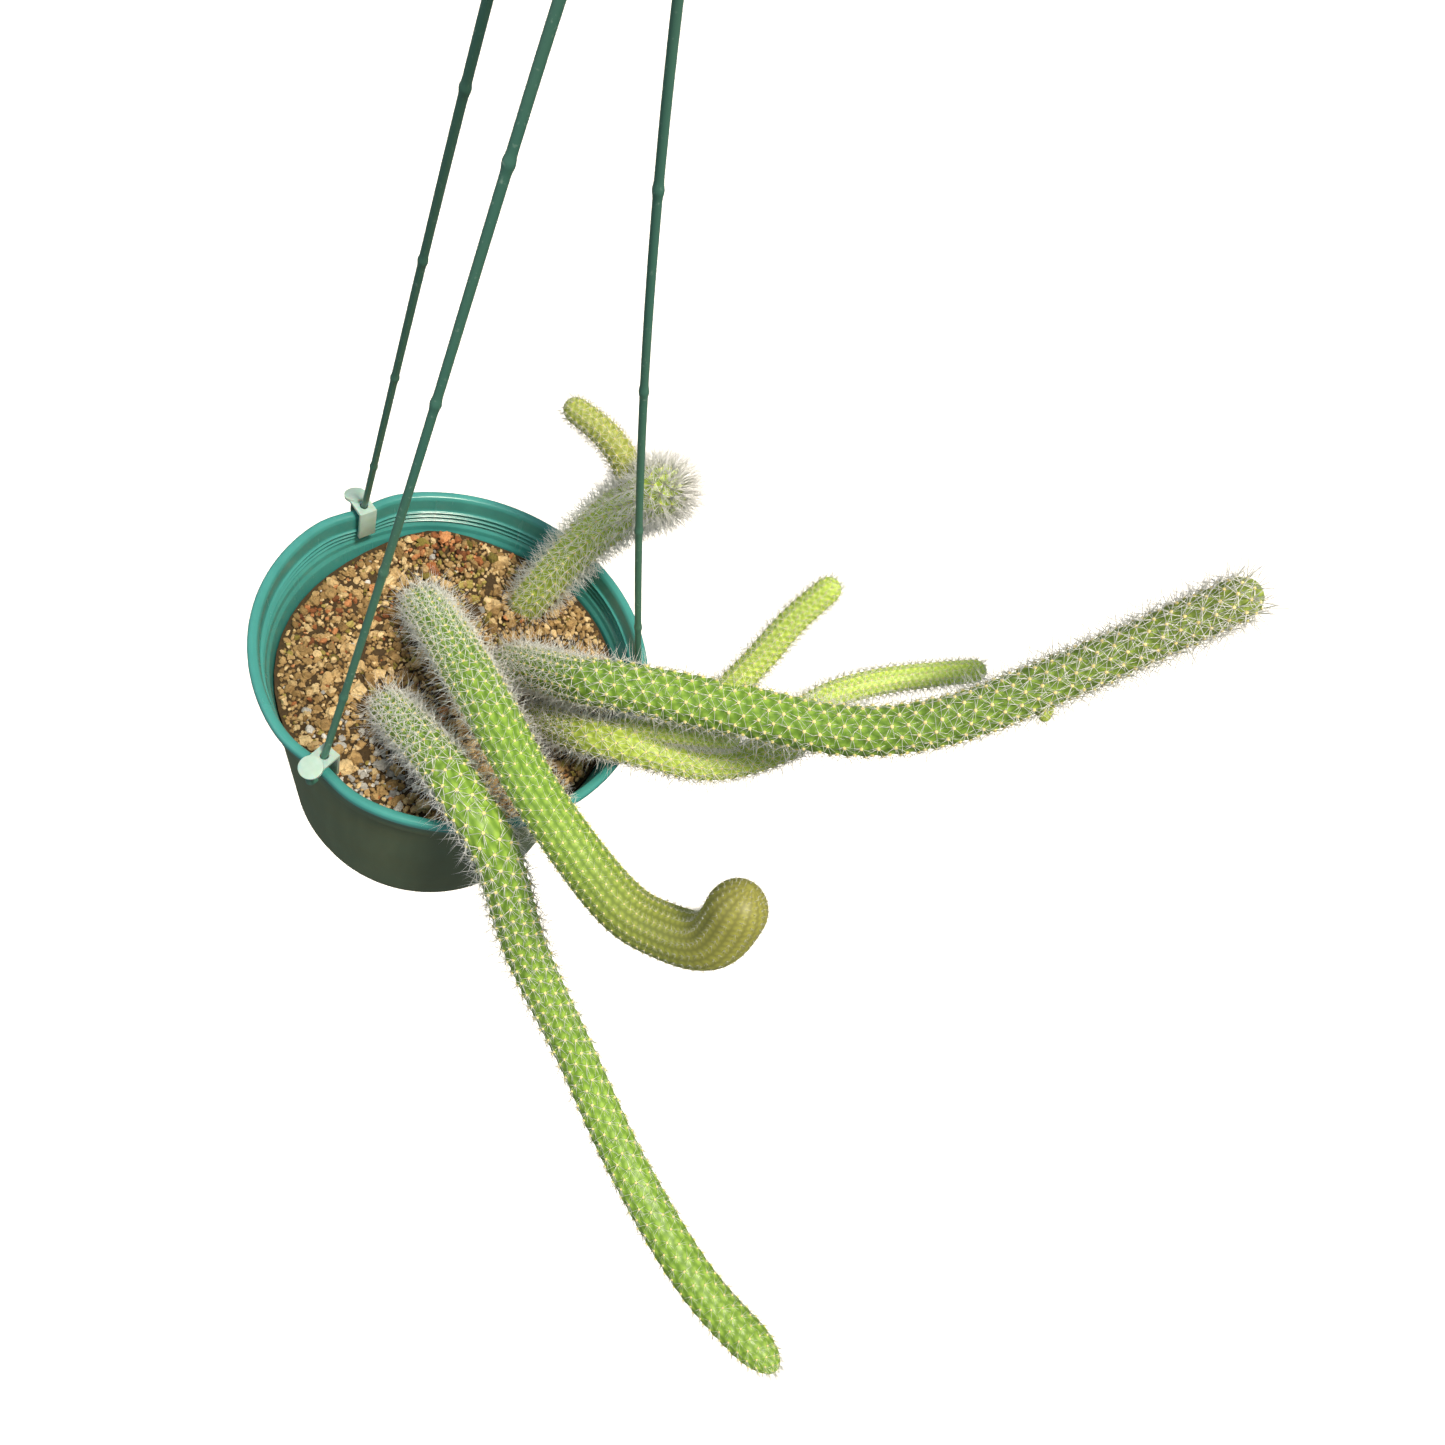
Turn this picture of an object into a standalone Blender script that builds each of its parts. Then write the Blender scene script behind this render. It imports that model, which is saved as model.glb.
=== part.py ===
# Monkey tail cactus in a green plastic hanging pot, with three hanger rods and a top hook.
#
# Lengths in this file are millimetres, measured from the centre of the pot's rim with +Z up.
# add_solid() turns them into metres and moves the origin to the point the hook hangs on.
# The plant leans over the rim towards +X and -Y, which is the side that is seen first.

import math
import random

import bmesh
import bpy
import numpy as np
from mathutils import Vector

MM = 0.001
GAP = 0.35

# Pot: a thin moulded shell with a rolled lip, fine ridges and two steps inside the mouth
RIM_R = 75.0
POT_H = 120.5
WALL = 1.3
FLOOR_Z = 2.2 - POT_H
TURNS = 48
HOLE_R = 4.0
HOLE_RING_R = 30.0
HOLE_COUNT = 4
DENT = 2.5
DENT_WIDTH = math.radians(9)
LOWER_R = 59.3
LOWER_Z = -107.0
UPPER_R = 68.2
UPPER_Z = -24.0
FOOT_OUTLINE = [(47.5, -POT_H), (53.0, -POT_H + 1.2), (57.1, -POT_H + 5.4)]
LIP_OUTLINE = [
    (68.8, -20.6), (70.2, -19.2), (70.5, -17.0), (71.8, -15.2), (72.4, -4.8), (74.1, -4.4),
    (RIM_R, -3.3), (RIM_R, -1.1), (74.3, -0.2),
]
MOUTH_OUTLINE = [(73.2, 0.0), (71.7, -0.5), (71.1, -1.8), (70.9, -6.8)]
RIDGE_HEIGHTS = [-8.0, -10.5, -13.0]
RIDGE_TOP_R = 70.3
RIDGE_FOOT_R = 70.7
STEP_OUTLINE = [(69.3, -15.6), (69.0, -17.6), (67.9, -19.2), (67.4, -22.0)]

# Soil: a plug of grit with an uneven top, higher at the back, with one heap against the wall
SOIL_Z = -25.0
SOIL_RINGS = 5
SOIL_BUMP = 1.3
SOIL_BACK_RISE = 6.5
HEAP_PLACE = (-42.0, 44.0)
HEAP_RISE = 4.5
HEAP_WIDTH = 17.0
HOLE_RISE = 24.0

# Hanger: three rods from clips on the rim to a hub with a hook
CLIP_ANGLES = [math.radians(158.2), math.radians(263.5), math.radians(21)]
CLIP_DENTS = [1.0, 1.0, 0.4]
ROD_R = 1.2
ROD_SIDES = 6
KNOB_HEIGHTS = [[34.0, 87.5, 140.5, 196.0], [37.0, 94.0, 151.5, 210.0], [45.5, 92.0, 144.0, 198.5]]
KNOB_RISE = 0.3
ROD_FOOT = [
    (74.6, -8.4), (77.2, -7.8), (78.3, -5.6), (78.2, -1.6), (77.0, 1.2), (74.6, 1.8), (72.4, 2.6),
]
ROD_FOOT_END = (70.8, 6.5)
SADDLE_OUTLINE = [(67.7, -9.5), (68.8, -9.5), (68.8, 3.4), (75.9, 3.4), (75.9, 4.7), (67.7, 4.7)]
SADDLE_WIDTH = 7.0
EAR_R = 4.2
EAR_THICK = 1.3
EAR_PLACE = (77.6, 4.1)
EAR_TILT = math.radians(18)
HUB_Z = 305.0
HUB_H = 10.0
HUB_R = 12.5
SOCKET_R = 8.0
SOCKET_DEPTH = 5.0
HUB_TWIST = math.radians(60)
ROD_BOWS = [-0.4, 1.3, -5.1]
BOW_SIDE = Vector((0.863, 0.505, 0.0))
ROD_LEAN = Vector((-7.0, -0.8, 0.0))
NECK_OUTLINE = [(5.5, 2.0), (4.2, 6.0)]
HOOK_WIRE_R = 3.0
HOOK_R = 16.0
HOOK_CENTRE_Z = 347.0
HOOK_FROM = math.radians(-68)
HOOK_STEP = math.radians(17)
HOOK_STEPS = 17
HANG_POINT = Vector((0.0, 0.0, HOOK_CENTRE_Z + HOOK_R - HOOK_WIRE_R))

# Stems: points that the centreline passes, and radii at even steps from the base to the tip.
# Each side shoot is a thickness, as a share of SHOOT_RADII, and the points it passes.
STEM_STEP = 7.0
STEM_SIDES = 10
SHOOT_SIDES = 8
TUBERCLE = 0.045
STEMS = {
    "stem_trailing": {
        "path": [
            (-16, -20, -42), (-6, -29, -19), (26, -50, 13), (43.3, -59.6, 19.3), (59.7, -64, 8.6),
            (87, -67.4, -46.9), (127.7, -73.6, -99.8), (173.9, -92.4, -127.2),
            (224.6, -115, -130.6), (271, -127, -126),
        ],
        "radii": (7.4, 7.6, 8.2, 8.1, 8.7, 8.6),
        "shoots": [],
    },
    "stem_upturned": {
        "path": [
            (-33, 26, -43), (-28, 19, -22), (-10, 3, -1), (27.5, -29.8, 30.5), (62.4, -52.1, 38.3),
            (99.9, -65.4, 36.8), (118.8, -67.4, 41.4), (132.5, -65.7, 54.2), (131.4, -56.2, 76.2),
        ],
        "radii": (8.4, 8.4, 8.8, 8.0, 8.8, 9.7),
        "shoots": [],
    },
    "stem_upright": {
        "path": [
            (-1, 47, -41), (3, 48, -22), (11, 55, 12), (20, 58, 41), (30, 58, 64), (39.4, 55.5, 79.7),
        ],
        "radii": (7.4, 7.4, 7.6, 8.6, 9.2),
        "shoots": [(1.05, [(24, 60, 60), (16.8, 60.4, 70), (5.2, 61, 75.1), (-10.2, 60.8, 76.6)])],
    },
    "stem_reaching": {
        "path": [
            (9, 25, -41), (16, 21, -22), (46, 7, 18), (61.4, 5.8, 32.5), (100.5, 12.8, 51.1),
            (134.5, 18.9, 68.2), (157.5, 28.7, 89.4), (175.6, 44.5, 115.3), (191.6, 60.5, 141.3),
            (203.6, 73.5, 160.3),
        ],
        "radii": (8.0, 8.0, 8.8, 8.2, 7.1, 6.4),
        "shoots": [
            (1.05, [(92, 11, 46), (96, 27.5, 61.3), (98.2, 39.1, 75.1), (103, 51.4, 89.6)]),
            (1.0, [(116, 15, 56), (124, 36.5, 56), (136.6, 53.2, 58.5), (151.3, 65.6, 63.8),
                   (166, 76, 70)]),
            (0.45, [(176, 43, 112), (180, 35, 106)]),
        ],
    },
    "stem_tucked": {
        "path": [
            (31, 12, -41), (37, 8, -25), (57, -3, 3), (70, -2, 11), (84.4, 3.8, 11.5),
            (100.6, 13.5, 8.3), (115, 27, 11), (129, 46, 19),
        ],
        "radii": (6.6, 6.5, 6.3),
        "shoots": [(0.8, [(58, -3, 3), (70, 4, 13), (86, 9, 22), (98, 13, 27), (107, 17, 31)])],
    },
}
SHOOT_RADII = (5.0, 4.8, 4.2)

# The length of a tip's rounding, as a share of the radius there
ROUND_END = 1.15
LONG_ENDS = {"stem_trailing": 2.2}

# Needles: fine three-sided spines, a few of the real ones
NEEDLE_EVERY = 3
NEEDLE_R = 0.42
NEEDLE_SUNK = 1.6
NEEDLE_LONG = (4.5, 7.0)
SEED = 12

PLASTIC_GREEN = (0.030, 0.115, 0.085, 1.0)
ROD_GREEN = (0.035, 0.095, 0.075, 1.0)
CLIP_MINT = (0.45, 0.72, 0.60, 1.0)
SOIL_TAN = (0.30, 0.19, 0.10, 1.0)
CACTUS_GREEN = (0.16, 0.34, 0.05, 1.0)


def clear_scene():
    for obj in list(bpy.data.objects):
        bpy.data.objects.remove(obj, do_unlink=True)


def material(name, colour, roughness, metallic=0.0):
    mat = bpy.data.materials.new(name)
    mat.use_nodes = True
    shader = mat.node_tree.nodes["Principled BSDF"]
    shader.inputs["Base Color"].default_value = colour
    shader.inputs["Roughness"].default_value = roughness
    shader.inputs["Metallic"].default_value = metallic
    return mat


def add_solid(name, verts, faces, mat=None, smooth=math.radians(35)):
    """One mesh object from points in millimetres, with its faces turned outwards."""
    mesh = bpy.data.meshes.new(name)
    mesh.from_pydata([(Vector(v) - HANG_POINT) * MM for v in verts], [], faces)
    build = bmesh.new()
    build.from_mesh(mesh)
    bmesh.ops.recalc_face_normals(build, faces=build.faces)
    build.to_mesh(mesh)
    build.free()
    mesh.shade_smooth()
    mesh.set_sharp_from_angle(angle=smooth)
    obj = bpy.data.objects.new(name, mesh)
    bpy.context.scene.collection.objects.link(obj)
    if mat:
        mesh.materials.append(mat)
    return obj


def combine(target, helpers, operation, solver="EXACT"):
    """Joins the helper solids to the target, or cuts them out of it, then removes them."""
    group = bpy.data.collections.new("helpers")
    bpy.context.scene.collection.children.link(group)
    for obj in helpers:
        bpy.context.scene.collection.objects.unlink(obj)
        group.objects.link(obj)
        obj.hide_render = True
        obj.display_type = "WIRE"
    step = target.modifiers.new("combine", "BOOLEAN")
    step.operation = operation
    step.solver = solver
    step.operand_type = "COLLECTION"
    step.collection = group
    graph = bpy.context.evaluated_depsgraph_get()
    solved = bpy.data.meshes.new_from_object(target.evaluated_get(graph))
    target.modifiers.clear()
    target.data = solved
    for obj in helpers:
        bpy.data.objects.remove(obj, do_unlink=True)
    bpy.data.collections.remove(group)


def turned(name, outline, segments, mat=None, push=None, smooth=math.radians(35)):
    """A solid turned about Z from an outline that starts and ends on the axis."""
    inner = outline[1:-1]
    verts = [(0.0, 0.0, outline[0][1])]
    for r, z in inner:
        for i in range(segments):
            angle = 2 * math.pi * i / segments
            radius = r + (push(angle, z) if push else 0.0)
            verts.append((radius * math.cos(angle), radius * math.sin(angle), z))
    verts.append((0.0, 0.0, outline[-1][1]))
    last = len(verts) - 1
    faces = []
    for i in range(segments):
        j = (i + 1) % segments
        faces.append((0, 1 + i, 1 + j))
        for row in range(len(inner) - 1):
            low = 1 + row * segments
            high = low + segments
            faces.append((low + i, high + i, high + j, low + j))
        top = 1 + (len(inner) - 1) * segments
        faces.append((top + i, last, top + j))
    return add_solid(name, verts, faces, mat, smooth)


def smooth_path(points, count=40):
    """Points along a smooth curve through the given points, evenly spaced along its length."""
    pts = [Vector(p) for p in points]
    pts = [pts[0] * 2 - pts[1]] + pts + [pts[-1] * 2 - pts[-2]]
    fine = []
    for a, b, c, d in zip(pts, pts[1:], pts[2:], pts[3:]):
        for k in range(count):
            t = k / count
            fine.append(0.5 * (2 * b + (c - a) * t + (2 * a - 5 * b + 4 * c - d) * t ** 2
                               + (3 * b - a - 3 * c + d) * t ** 3))
    fine.append(pts[-2])
    return fine


class Route:
    """A curve that can be asked for its place, direction and side vectors at any distance."""

    def __init__(self, points):
        self.points = np.array([tuple(p) for p in points])
        steps = np.linalg.norm(np.diff(self.points, axis=0), axis=1)
        self.far = np.concatenate([[0.0], np.cumsum(steps)])
        self.length = float(self.far[-1])
        ahead = np.gradient(self.points, self.far, axis=0)
        ahead /= np.linalg.norm(ahead, axis=1)[:, None]
        side = np.cross(ahead[0], (0.0, 0.0, 1.0) if abs(ahead[0][2]) < 0.9 else (1.0, 0.0, 0.0))
        sides = []
        for way in ahead:
            side = side - way * np.dot(side, way)
            side = side / np.linalg.norm(side)
            sides.append(side)
        self.ahead = ahead
        self.side = np.array(sides)

    def at(self, far):
        def read(rows):
            return np.array([np.interp(far, self.far, rows[:, k]) for k in range(3)])
        way = read(self.ahead)
        way /= np.linalg.norm(way)
        side = read(self.side)
        side -= way * np.dot(side, way)
        side /= np.linalg.norm(side)
        return read(self.points), way, side, np.cross(way, side)


def tube(name, route, stations, radius_at, sides, mat=None, bump=None, tip=False):
    """A closed tube along a route, with flat ends or one round tip."""
    verts = []
    rows = 0
    for j, far in enumerate(stations):
        centre, way, side, up = route.at(far)
        for i in range(sides):
            angle = 2 * math.pi * i / sides
            radius = radius_at(far) * (1 + (bump(i, j, far) if bump else 0.0))
            verts.append(tuple(centre + radius * (side * math.cos(angle) + up * math.sin(angle))))
        rows += 1
    faces = []
    for j in range(rows - 1):
        for i in range(sides):
            k = (i + 1) % sides
            faces.append((j * sides + i, j * sides + k, (j + 1) * sides + k, (j + 1) * sides + i))
    faces.append(tuple(range(sides)))
    if tip:
        verts.append(tuple(route.at(route.length)[0]))
        for i in range(sides):
            faces.append(((rows - 1) * sides + i, (rows - 1) * sides + (i + 1) % sides, rows * sides))
    else:
        faces.append(tuple(range((rows - 1) * sides, rows * sides)))
    return add_solid(name, verts, faces, mat, math.radians(50))


def blend(low, high, value):
    t = min(1.0, max(0.0, (value - low) / (high - low)))
    return t * t * (3 - 2 * t)


def rim_dent(angle, z):
    """How far the soft wall is pulled in beside each clip."""
    total = 0.0
    for clip, share in zip(CLIP_ANGLES, CLIP_DENTS):
        away = math.remainder(angle - clip, 2 * math.pi)
        total -= DENT * share * math.exp(-((away / DENT_WIDTH) ** 2))
    return total * blend(-23.0, -5.0, z)


def around(r, z, clip, across=0.0):
    """A point near one clip, from its distance to the pot's axis, height and sideways offset."""
    out = Vector((math.cos(clip), math.sin(clip), 0.0))
    left = Vector((-math.sin(clip), math.cos(clip), 0.0))
    return out * r + left * across + Vector((0.0, 0.0, z))


# Pot

def pot_inner_outline():
    """The inside of the mouth and wall, from the lip down to the floor's centre."""
    points = list(MOUTH_OUTLINE)
    for ridge in RIDGE_HEIGHTS:
        points += [(RIDGE_TOP_R, ridge), (RIDGE_FOOT_R, ridge - 1.2)]
    points += STEP_OUTLINE + [(UPPER_R - WALL, UPPER_Z - 0.5), (LOWER_R - WALL, LOWER_Z)]
    points += [(55.4, FLOOR_Z + 4.6), (51.4, FLOOR_Z + 1.2), (46.4, FLOOR_Z), (0.0, FLOOR_Z)]
    return points


def make_pot(mat):
    outline = [(0.0, -POT_H)] + FOOT_OUTLINE + [(LOWER_R, LOWER_Z), (UPPER_R, UPPER_Z)] + LIP_OUTLINE
    pot = turned("pot", outline + pot_inner_outline(), TURNS, mat, rim_dent)
    drains = []
    for k in range(HOLE_COUNT):
        angle = 2 * math.pi * (k + 0.5) / HOLE_COUNT
        place = Vector((HOLE_RING_R * math.cos(angle), HOLE_RING_R * math.sin(angle), 0.0))
        drill = Route([place + Vector((0, 0, -POT_H - 3)), place + Vector((0, 0, -POT_H + 6))])
        drains.append(tube("drain", drill, [0, drill.length], lambda far: HOLE_R, 12))
    combine(pot, drains, "DIFFERENCE")
    return pot


# Soil

def soil_height(x, y):
    """The height of the grit, uneven by a few waves, with a rise at the back and one heap."""
    waves = math.sin(x * 0.21 + 1.0) * math.cos(y * 0.17) + math.sin(x * 0.43 - y * 0.37 + 2.0)
    waves += 0.8 * math.cos(x * 0.61 + y * 0.53)
    edge = 1 - blend(52.0, 66.0, math.hypot(x, y))
    heap = math.exp(-(math.hypot(x - HEAP_PLACE[0], y - HEAP_PLACE[1]) / HEAP_WIDTH) ** 2)
    rise = SOIL_BACK_RISE * blend(0.0, 60.0, y) + HEAP_RISE * heap
    return SOIL_Z + 0.5 * SOIL_BUMP * waves * edge + rise


def make_soil(mat, stems):
    wall = [(max(0.0, r - GAP), z + GAP if z < LOWER_Z - 1 else z)
            for r, z in pot_inner_outline() if z < UPPER_Z - 1]
    slope = (UPPER_R - LOWER_R) / (UPPER_Z - 0.5 - LOWER_Z)
    top_r = UPPER_R - WALL - GAP + slope * (SOIL_Z - 0.5 - (UPPER_Z - 0.5))
    outline = [(0.0, SOIL_Z)]
    outline += [(top_r * (k + 1) / SOIL_RINGS, SOIL_Z) for k in range(SOIL_RINGS - 1)]
    outline += [(top_r, SOIL_Z - 0.5)] + wall
    soil = turned("soil", outline, TURNS, mat)
    for vert in soil.data.vertices:
        place = Vector(vert.co) / MM + HANG_POINT
        if place.z > SOIL_Z - 0.6:
            vert.co.z = (soil_height(place.x, place.y) - HANG_POINT.z) * MM
    cutters = []
    for spec in stems.values():
        route = spec["route"]
        reach = next(far for far in np.arange(0, route.length, 1.0)
                     if route.at(far)[0][2] > SOIL_Z + HOLE_RISE)
        stations = np.arange(0, reach + 3, 3.0)
        wide = spec["radii"][0] * (1 + TUBERCLE) + 2 * GAP
        below = route.at(0)[0] - route.at(0)[1] * 3 * GAP
        cutter = Route([below] + [route.at(far)[0] for far in stations[1:]])
        cutters.append(tube("hole", cutter, cutter.far, lambda far: wide, 20))
    combine(soil, cutters, "DIFFERENCE")
    return soil


# Hanger rods, hook and clips

def rod_top(k):
    angle = CLIP_ANGLES[k] + HUB_TWIST
    return Vector((SOCKET_R * math.cos(angle), SOCKET_R * math.sin(angle), HUB_Z + SOCKET_DEPTH))


def rod_route(k, extra=0.0):
    """From under the lip, over the rim, then up with a slight bow and lean into the hub."""
    clip = CLIP_ANGLES[k]
    inset = DENT * CLIP_DENTS[k]
    foot = [around(r - inset, z, clip) for r, z in ROD_FOOT]
    start = around(ROD_FOOT_END[0] - inset, ROD_FOOT_END[1], clip)
    end = rod_top(k)
    shaft = []
    for z in shaft_heights(k):
        t = (z - start.z) / (end.z - start.z)
        aside = BOW_SIDE * ROD_BOWS[k] * math.sin(math.pi * t) + ROD_LEAN * t * (1 - t ** 8)
        shaft.append(start.lerp(end, t) + aside)
    shaft.append(end + (end - shaft[-1]).normalized() * extra)
    return Route(smooth_path(foot + [start], 2)[:-1] + [start] + shaft)


def shaft_heights(k):
    heights = [20.0, 60.0, 75.0, 115.0, 128.0, 165.0, 180.0, 225.0, 240.0, 255.0, 270.0, 284.0, 295.0]
    for knob in KNOB_HEIGHTS[k]:
        heights += [knob - 2.6, knob - 1.2, knob, knob + 1.2, knob + 2.6]
    return sorted(heights)


def rod_radius(route, k, grow=0.0):
    def radius(far):
        z = route.at(far)[0][2]
        rise = max(math.exp(-(((z - knob) / 1.3) ** 2)) for knob in KNOB_HEIGHTS[k])
        return ROD_R + KNOB_RISE * rise + grow
    return radius


def make_rod(k, mat):
    route = rod_route(k)
    return tube(f"hanger_rod_{k + 1}", route, route.far, rod_radius(route, k), ROD_SIDES, mat)


def rod_cutter(k):
    route = rod_route(k, GAP)
    return tube("rod_room", route, route.far, rod_radius(route, k, GAP + 0.1), 8)


def make_hook(mat):
    top = HUB_Z + HUB_H
    outline = [(0.0, HUB_Z), (HUB_R - 1, HUB_Z), (HUB_R, HUB_Z + 1), (HUB_R, top - 2), (HUB_R - 3, top)]
    outline += [(r, top + rise) for r, rise in NECK_OUTLINE]
    outline.append((0.0, top + NECK_OUTLINE[-1][1]))
    hook = turned("hanger_hook", outline, 20, mat)
    bend = [Vector((0, 0, top)), Vector((0, 0, HOOK_CENTRE_Z - HOOK_R - HOOK_WIRE_R))]
    for step in range(HOOK_STEPS):
        angle = HOOK_FROM + step * HOOK_STEP
        bend.append(Vector((HOOK_R * math.cos(angle), 0, HOOK_CENTRE_Z + HOOK_R * math.sin(angle))))
    route = Route(bend)
    wire = tube("wire", route, route.far, lambda far: HOOK_WIRE_R, 8)
    combine(hook, [wire], "UNION")
    combine(hook, [rod_cutter(k) for k in range(3)], "DIFFERENCE")
    return hook


def make_clip(k, mat):
    """A saddle over the rim: an inner flap, a bridge and a round outer ear."""
    clip = CLIP_ANGLES[k]
    inset = DENT * CLIP_DENTS[k]
    half = SADDLE_WIDTH / 2
    verts = [around(r - inset, z, clip, side) for side in (-half, half) for r, z in SADDLE_OUTLINE]
    count = len(SADDLE_OUTLINE)
    faces = [tuple(range(count)), tuple(range(count, 2 * count))]
    faces += [(i, (i + 1) % count, count + (i + 1) % count, count + i) for i in range(count)]
    saddle = add_solid(f"rim_clip_{k + 1}", verts, faces, mat)
    middle = around(EAR_PLACE[0] - inset, EAR_PLACE[1], clip)
    normal = around(math.sin(EAR_TILT), math.cos(EAR_TILT), clip)
    ear_route = Route([middle - normal * EAR_THICK / 2, middle + normal * EAR_THICK / 2])
    ear = tube("ear", ear_route, [0, ear_route.length], lambda far: EAR_R, 16)
    combine(saddle, [ear], "UNION")
    combine(saddle, [rod_cutter(k)], "DIFFERENCE")
    return saddle


# Cactus stems

def stem_radius(radii, length, ending):
    """Radius along a stem, from values at even steps, closing in a round end."""
    places = np.linspace(0.0, length, len(radii))

    def radius(far):
        left = (length - far) / (radii[-1] * ending)
        wide = float(np.interp(far, places, radii))
        return wide * math.sqrt(max(0.0, 1 - (1 - min(1.0, left)) ** 2))
    return radius


def stem_stations(length, radii, ending, step):
    """Where the rings of points lie: even steps, then closer ones round the tip."""
    cap = radii[-1] * ending
    count = max(2, round((length - cap) / step))
    body = [(length - cap) * k / count for k in range(count + 1)]
    return body + [length - cap * (1 - math.sin(math.radians(a))) for a in (28, 52, 72)]


def stem_bump(route):
    """Low tubercles in a staggered pattern, fading out where the stem stands in the soil."""
    def bump(i, j, far):
        centre = route.at(far)[0]
        near_axis = math.hypot(centre[0], centre[1]) < RIM_R
        fade = blend(SOIL_Z + 14, SOIL_Z + 22, centre[2]) if near_axis else 1.0
        return TUBERCLE * fade * (1 if (i + j) % 2 == 0 else -1)
    return bump


def all_routes(stems):
    """Every stem and rod as points with a radius, for keeping needles clear of them."""
    rows = []
    for name, spec in stems.items():
        for far in np.arange(0, spec["route"].length, 3.0):
            rows.append((name, spec["route"].at(far)[0], max(spec["radii"])))
        for thick, points in spec["shoots"]:
            rows += [(name, np.array(p), SHOOT_RADII[0] * thick) for p in smooth_path(points, 8)]
    for k in range(3):
        rows += [("rod", p, ROD_R) for p in rod_route(k).points]
        rows += [("clip", np.array(around(r, -2, CLIP_ANGLES[k])), 6.0) for r in (68, 72, 76, 80)]
    names = np.array([row[0] for row in rows])
    return names, np.array([row[1] for row in rows]), np.array([row[2] for row in rows])


def is_free(point, own, others):
    """Whether a needle's point is clear of the pot, the soil, the rods and the other stems."""
    names, places, radii = others
    r = math.hypot(point[0], point[1])
    if r < RIM_R + 4 and point[2] < 1.5 and r > 60:
        return False
    if r < RIM_R and point[2] < soil_height(point[0], point[1]) + 4:
        return False
    away = np.linalg.norm(places - point, axis=1) - radii
    return bool(np.all((away > 2.2) | (names == own)))


def needles(route, stations, radius_at, sides, own, others, rng, sparse):
    """Spines on every few tubercles of one stem, as one mesh of small closed solids."""
    verts = []
    faces = []
    count = 0
    for j, far in enumerate(stations):
        centre, way, side, up = route.at(far)
        for i in range(sides):
            if (i + j) % 2:
                continue
            count += 1
            if count % sparse:
                continue
            angle = 2 * math.pi * i / sides
            out = side * math.cos(angle) + up * math.sin(angle)
            lean = rng.uniform(-0.5, 0.6)
            turn = rng.uniform(-0.45, 0.45)
            aim = out + way * (lean + 1.2 * blend(0.93, 1.0, far / route.length))
            aim = aim + np.cross(way, out) * turn
            aim /= np.linalg.norm(aim)
            radius = radius_at(far)
            root = centre + out * max(0.2, radius - NEEDLE_SUNK)
            end = centre + out * radius + aim * rng.uniform(*NEEDLE_LONG)
            if not all(is_free(root + (end - root) * t, own, others) for t in (0.25, 0.5, 0.8, 1.05)):
                continue
            across = np.cross(aim, way)
            across /= np.linalg.norm(across)
            over = np.cross(aim, across)
            first = len(verts)
            for k in range(3):
                spin = 2 * math.pi * k / 3
                verts.append(tuple(root + NEEDLE_R * (across * math.cos(spin) + over * math.sin(spin))))
            verts.append(tuple(end))
            faces += [(first, first + 1, first + 2), (first, first + 1, first + 3),
                      (first + 1, first + 2, first + 3), (first + 2, first, first + 3)]
    return add_solid("needles", verts, faces)


def make_stem(name, spec, others, mat):
    rng = random.Random(SEED + len(name))
    route = spec["route"]
    ending = LONG_ENDS.get(name, ROUND_END)
    radius_at = stem_radius(spec["radii"], route.length, ending)
    stations = stem_stations(route.length, spec["radii"], ending, STEM_STEP)
    stem = tube(name, route, stations, radius_at, STEM_SIDES, mat, stem_bump(route), tip=True)
    grown = [needles(route, stations, radius_at, STEM_SIDES, name, others, rng, NEEDLE_EVERY)]
    for thick, points in spec["shoots"]:
        branch = Route(smooth_path(points))
        radii = [radius * thick for radius in SHOOT_RADII]
        wide = stem_radius(radii, branch.length, ROUND_END)
        rows = stem_stations(branch.length, radii, ROUND_END, STEM_STEP * 0.9)
        grown.append(tube("shoot", branch, rows, wide, SHOOT_SIDES, None,
                          lambda i, j, far: TUBERCLE * (1 if (i + j) % 2 == 0 else -1), tip=True))
        if len(points) > 2:
            outside = [far for far in rows if far > spec["radii"][0] * 1.5]
            grown.append(needles(branch, outside, wide, SHOOT_SIDES, name, others, rng, NEEDLE_EVERY))
    combine(stem, grown, "UNION")
    return stem


def main():
    clear_scene()
    pot_plastic = material("pot plastic", PLASTIC_GREEN, 0.38)
    rod_plastic = material("rod plastic", ROD_GREEN, 0.42)
    clip_plastic = material("clip plastic", CLIP_MINT, 0.30)
    grit = material("grit", SOIL_TAN, 0.95)
    skin = material("cactus skin", CACTUS_GREEN, 0.5)
    for spec in STEMS.values():
        spec["route"] = Route(smooth_path(spec["path"]))
    make_pot(pot_plastic)
    make_soil(grit, STEMS)
    for k in range(3):
        make_rod(k, rod_plastic)
        make_clip(k, clip_plastic)
    make_hook(rod_plastic)
    others = all_routes(STEMS)
    for name, spec in STEMS.items():
        make_stem(name, spec, others, skin)
    for obj in bpy.context.scene.collection.objects:
        tidy = bmesh.new()
        tidy.from_mesh(obj.data)
        bmesh.ops.triangulate(tidy, faces=tidy.faces)
        bmesh.ops.dissolve_degenerate(tidy, edges=tidy.edges, dist=2e-6)
        tidy.to_mesh(obj.data)
        tidy.free()


main()
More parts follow.
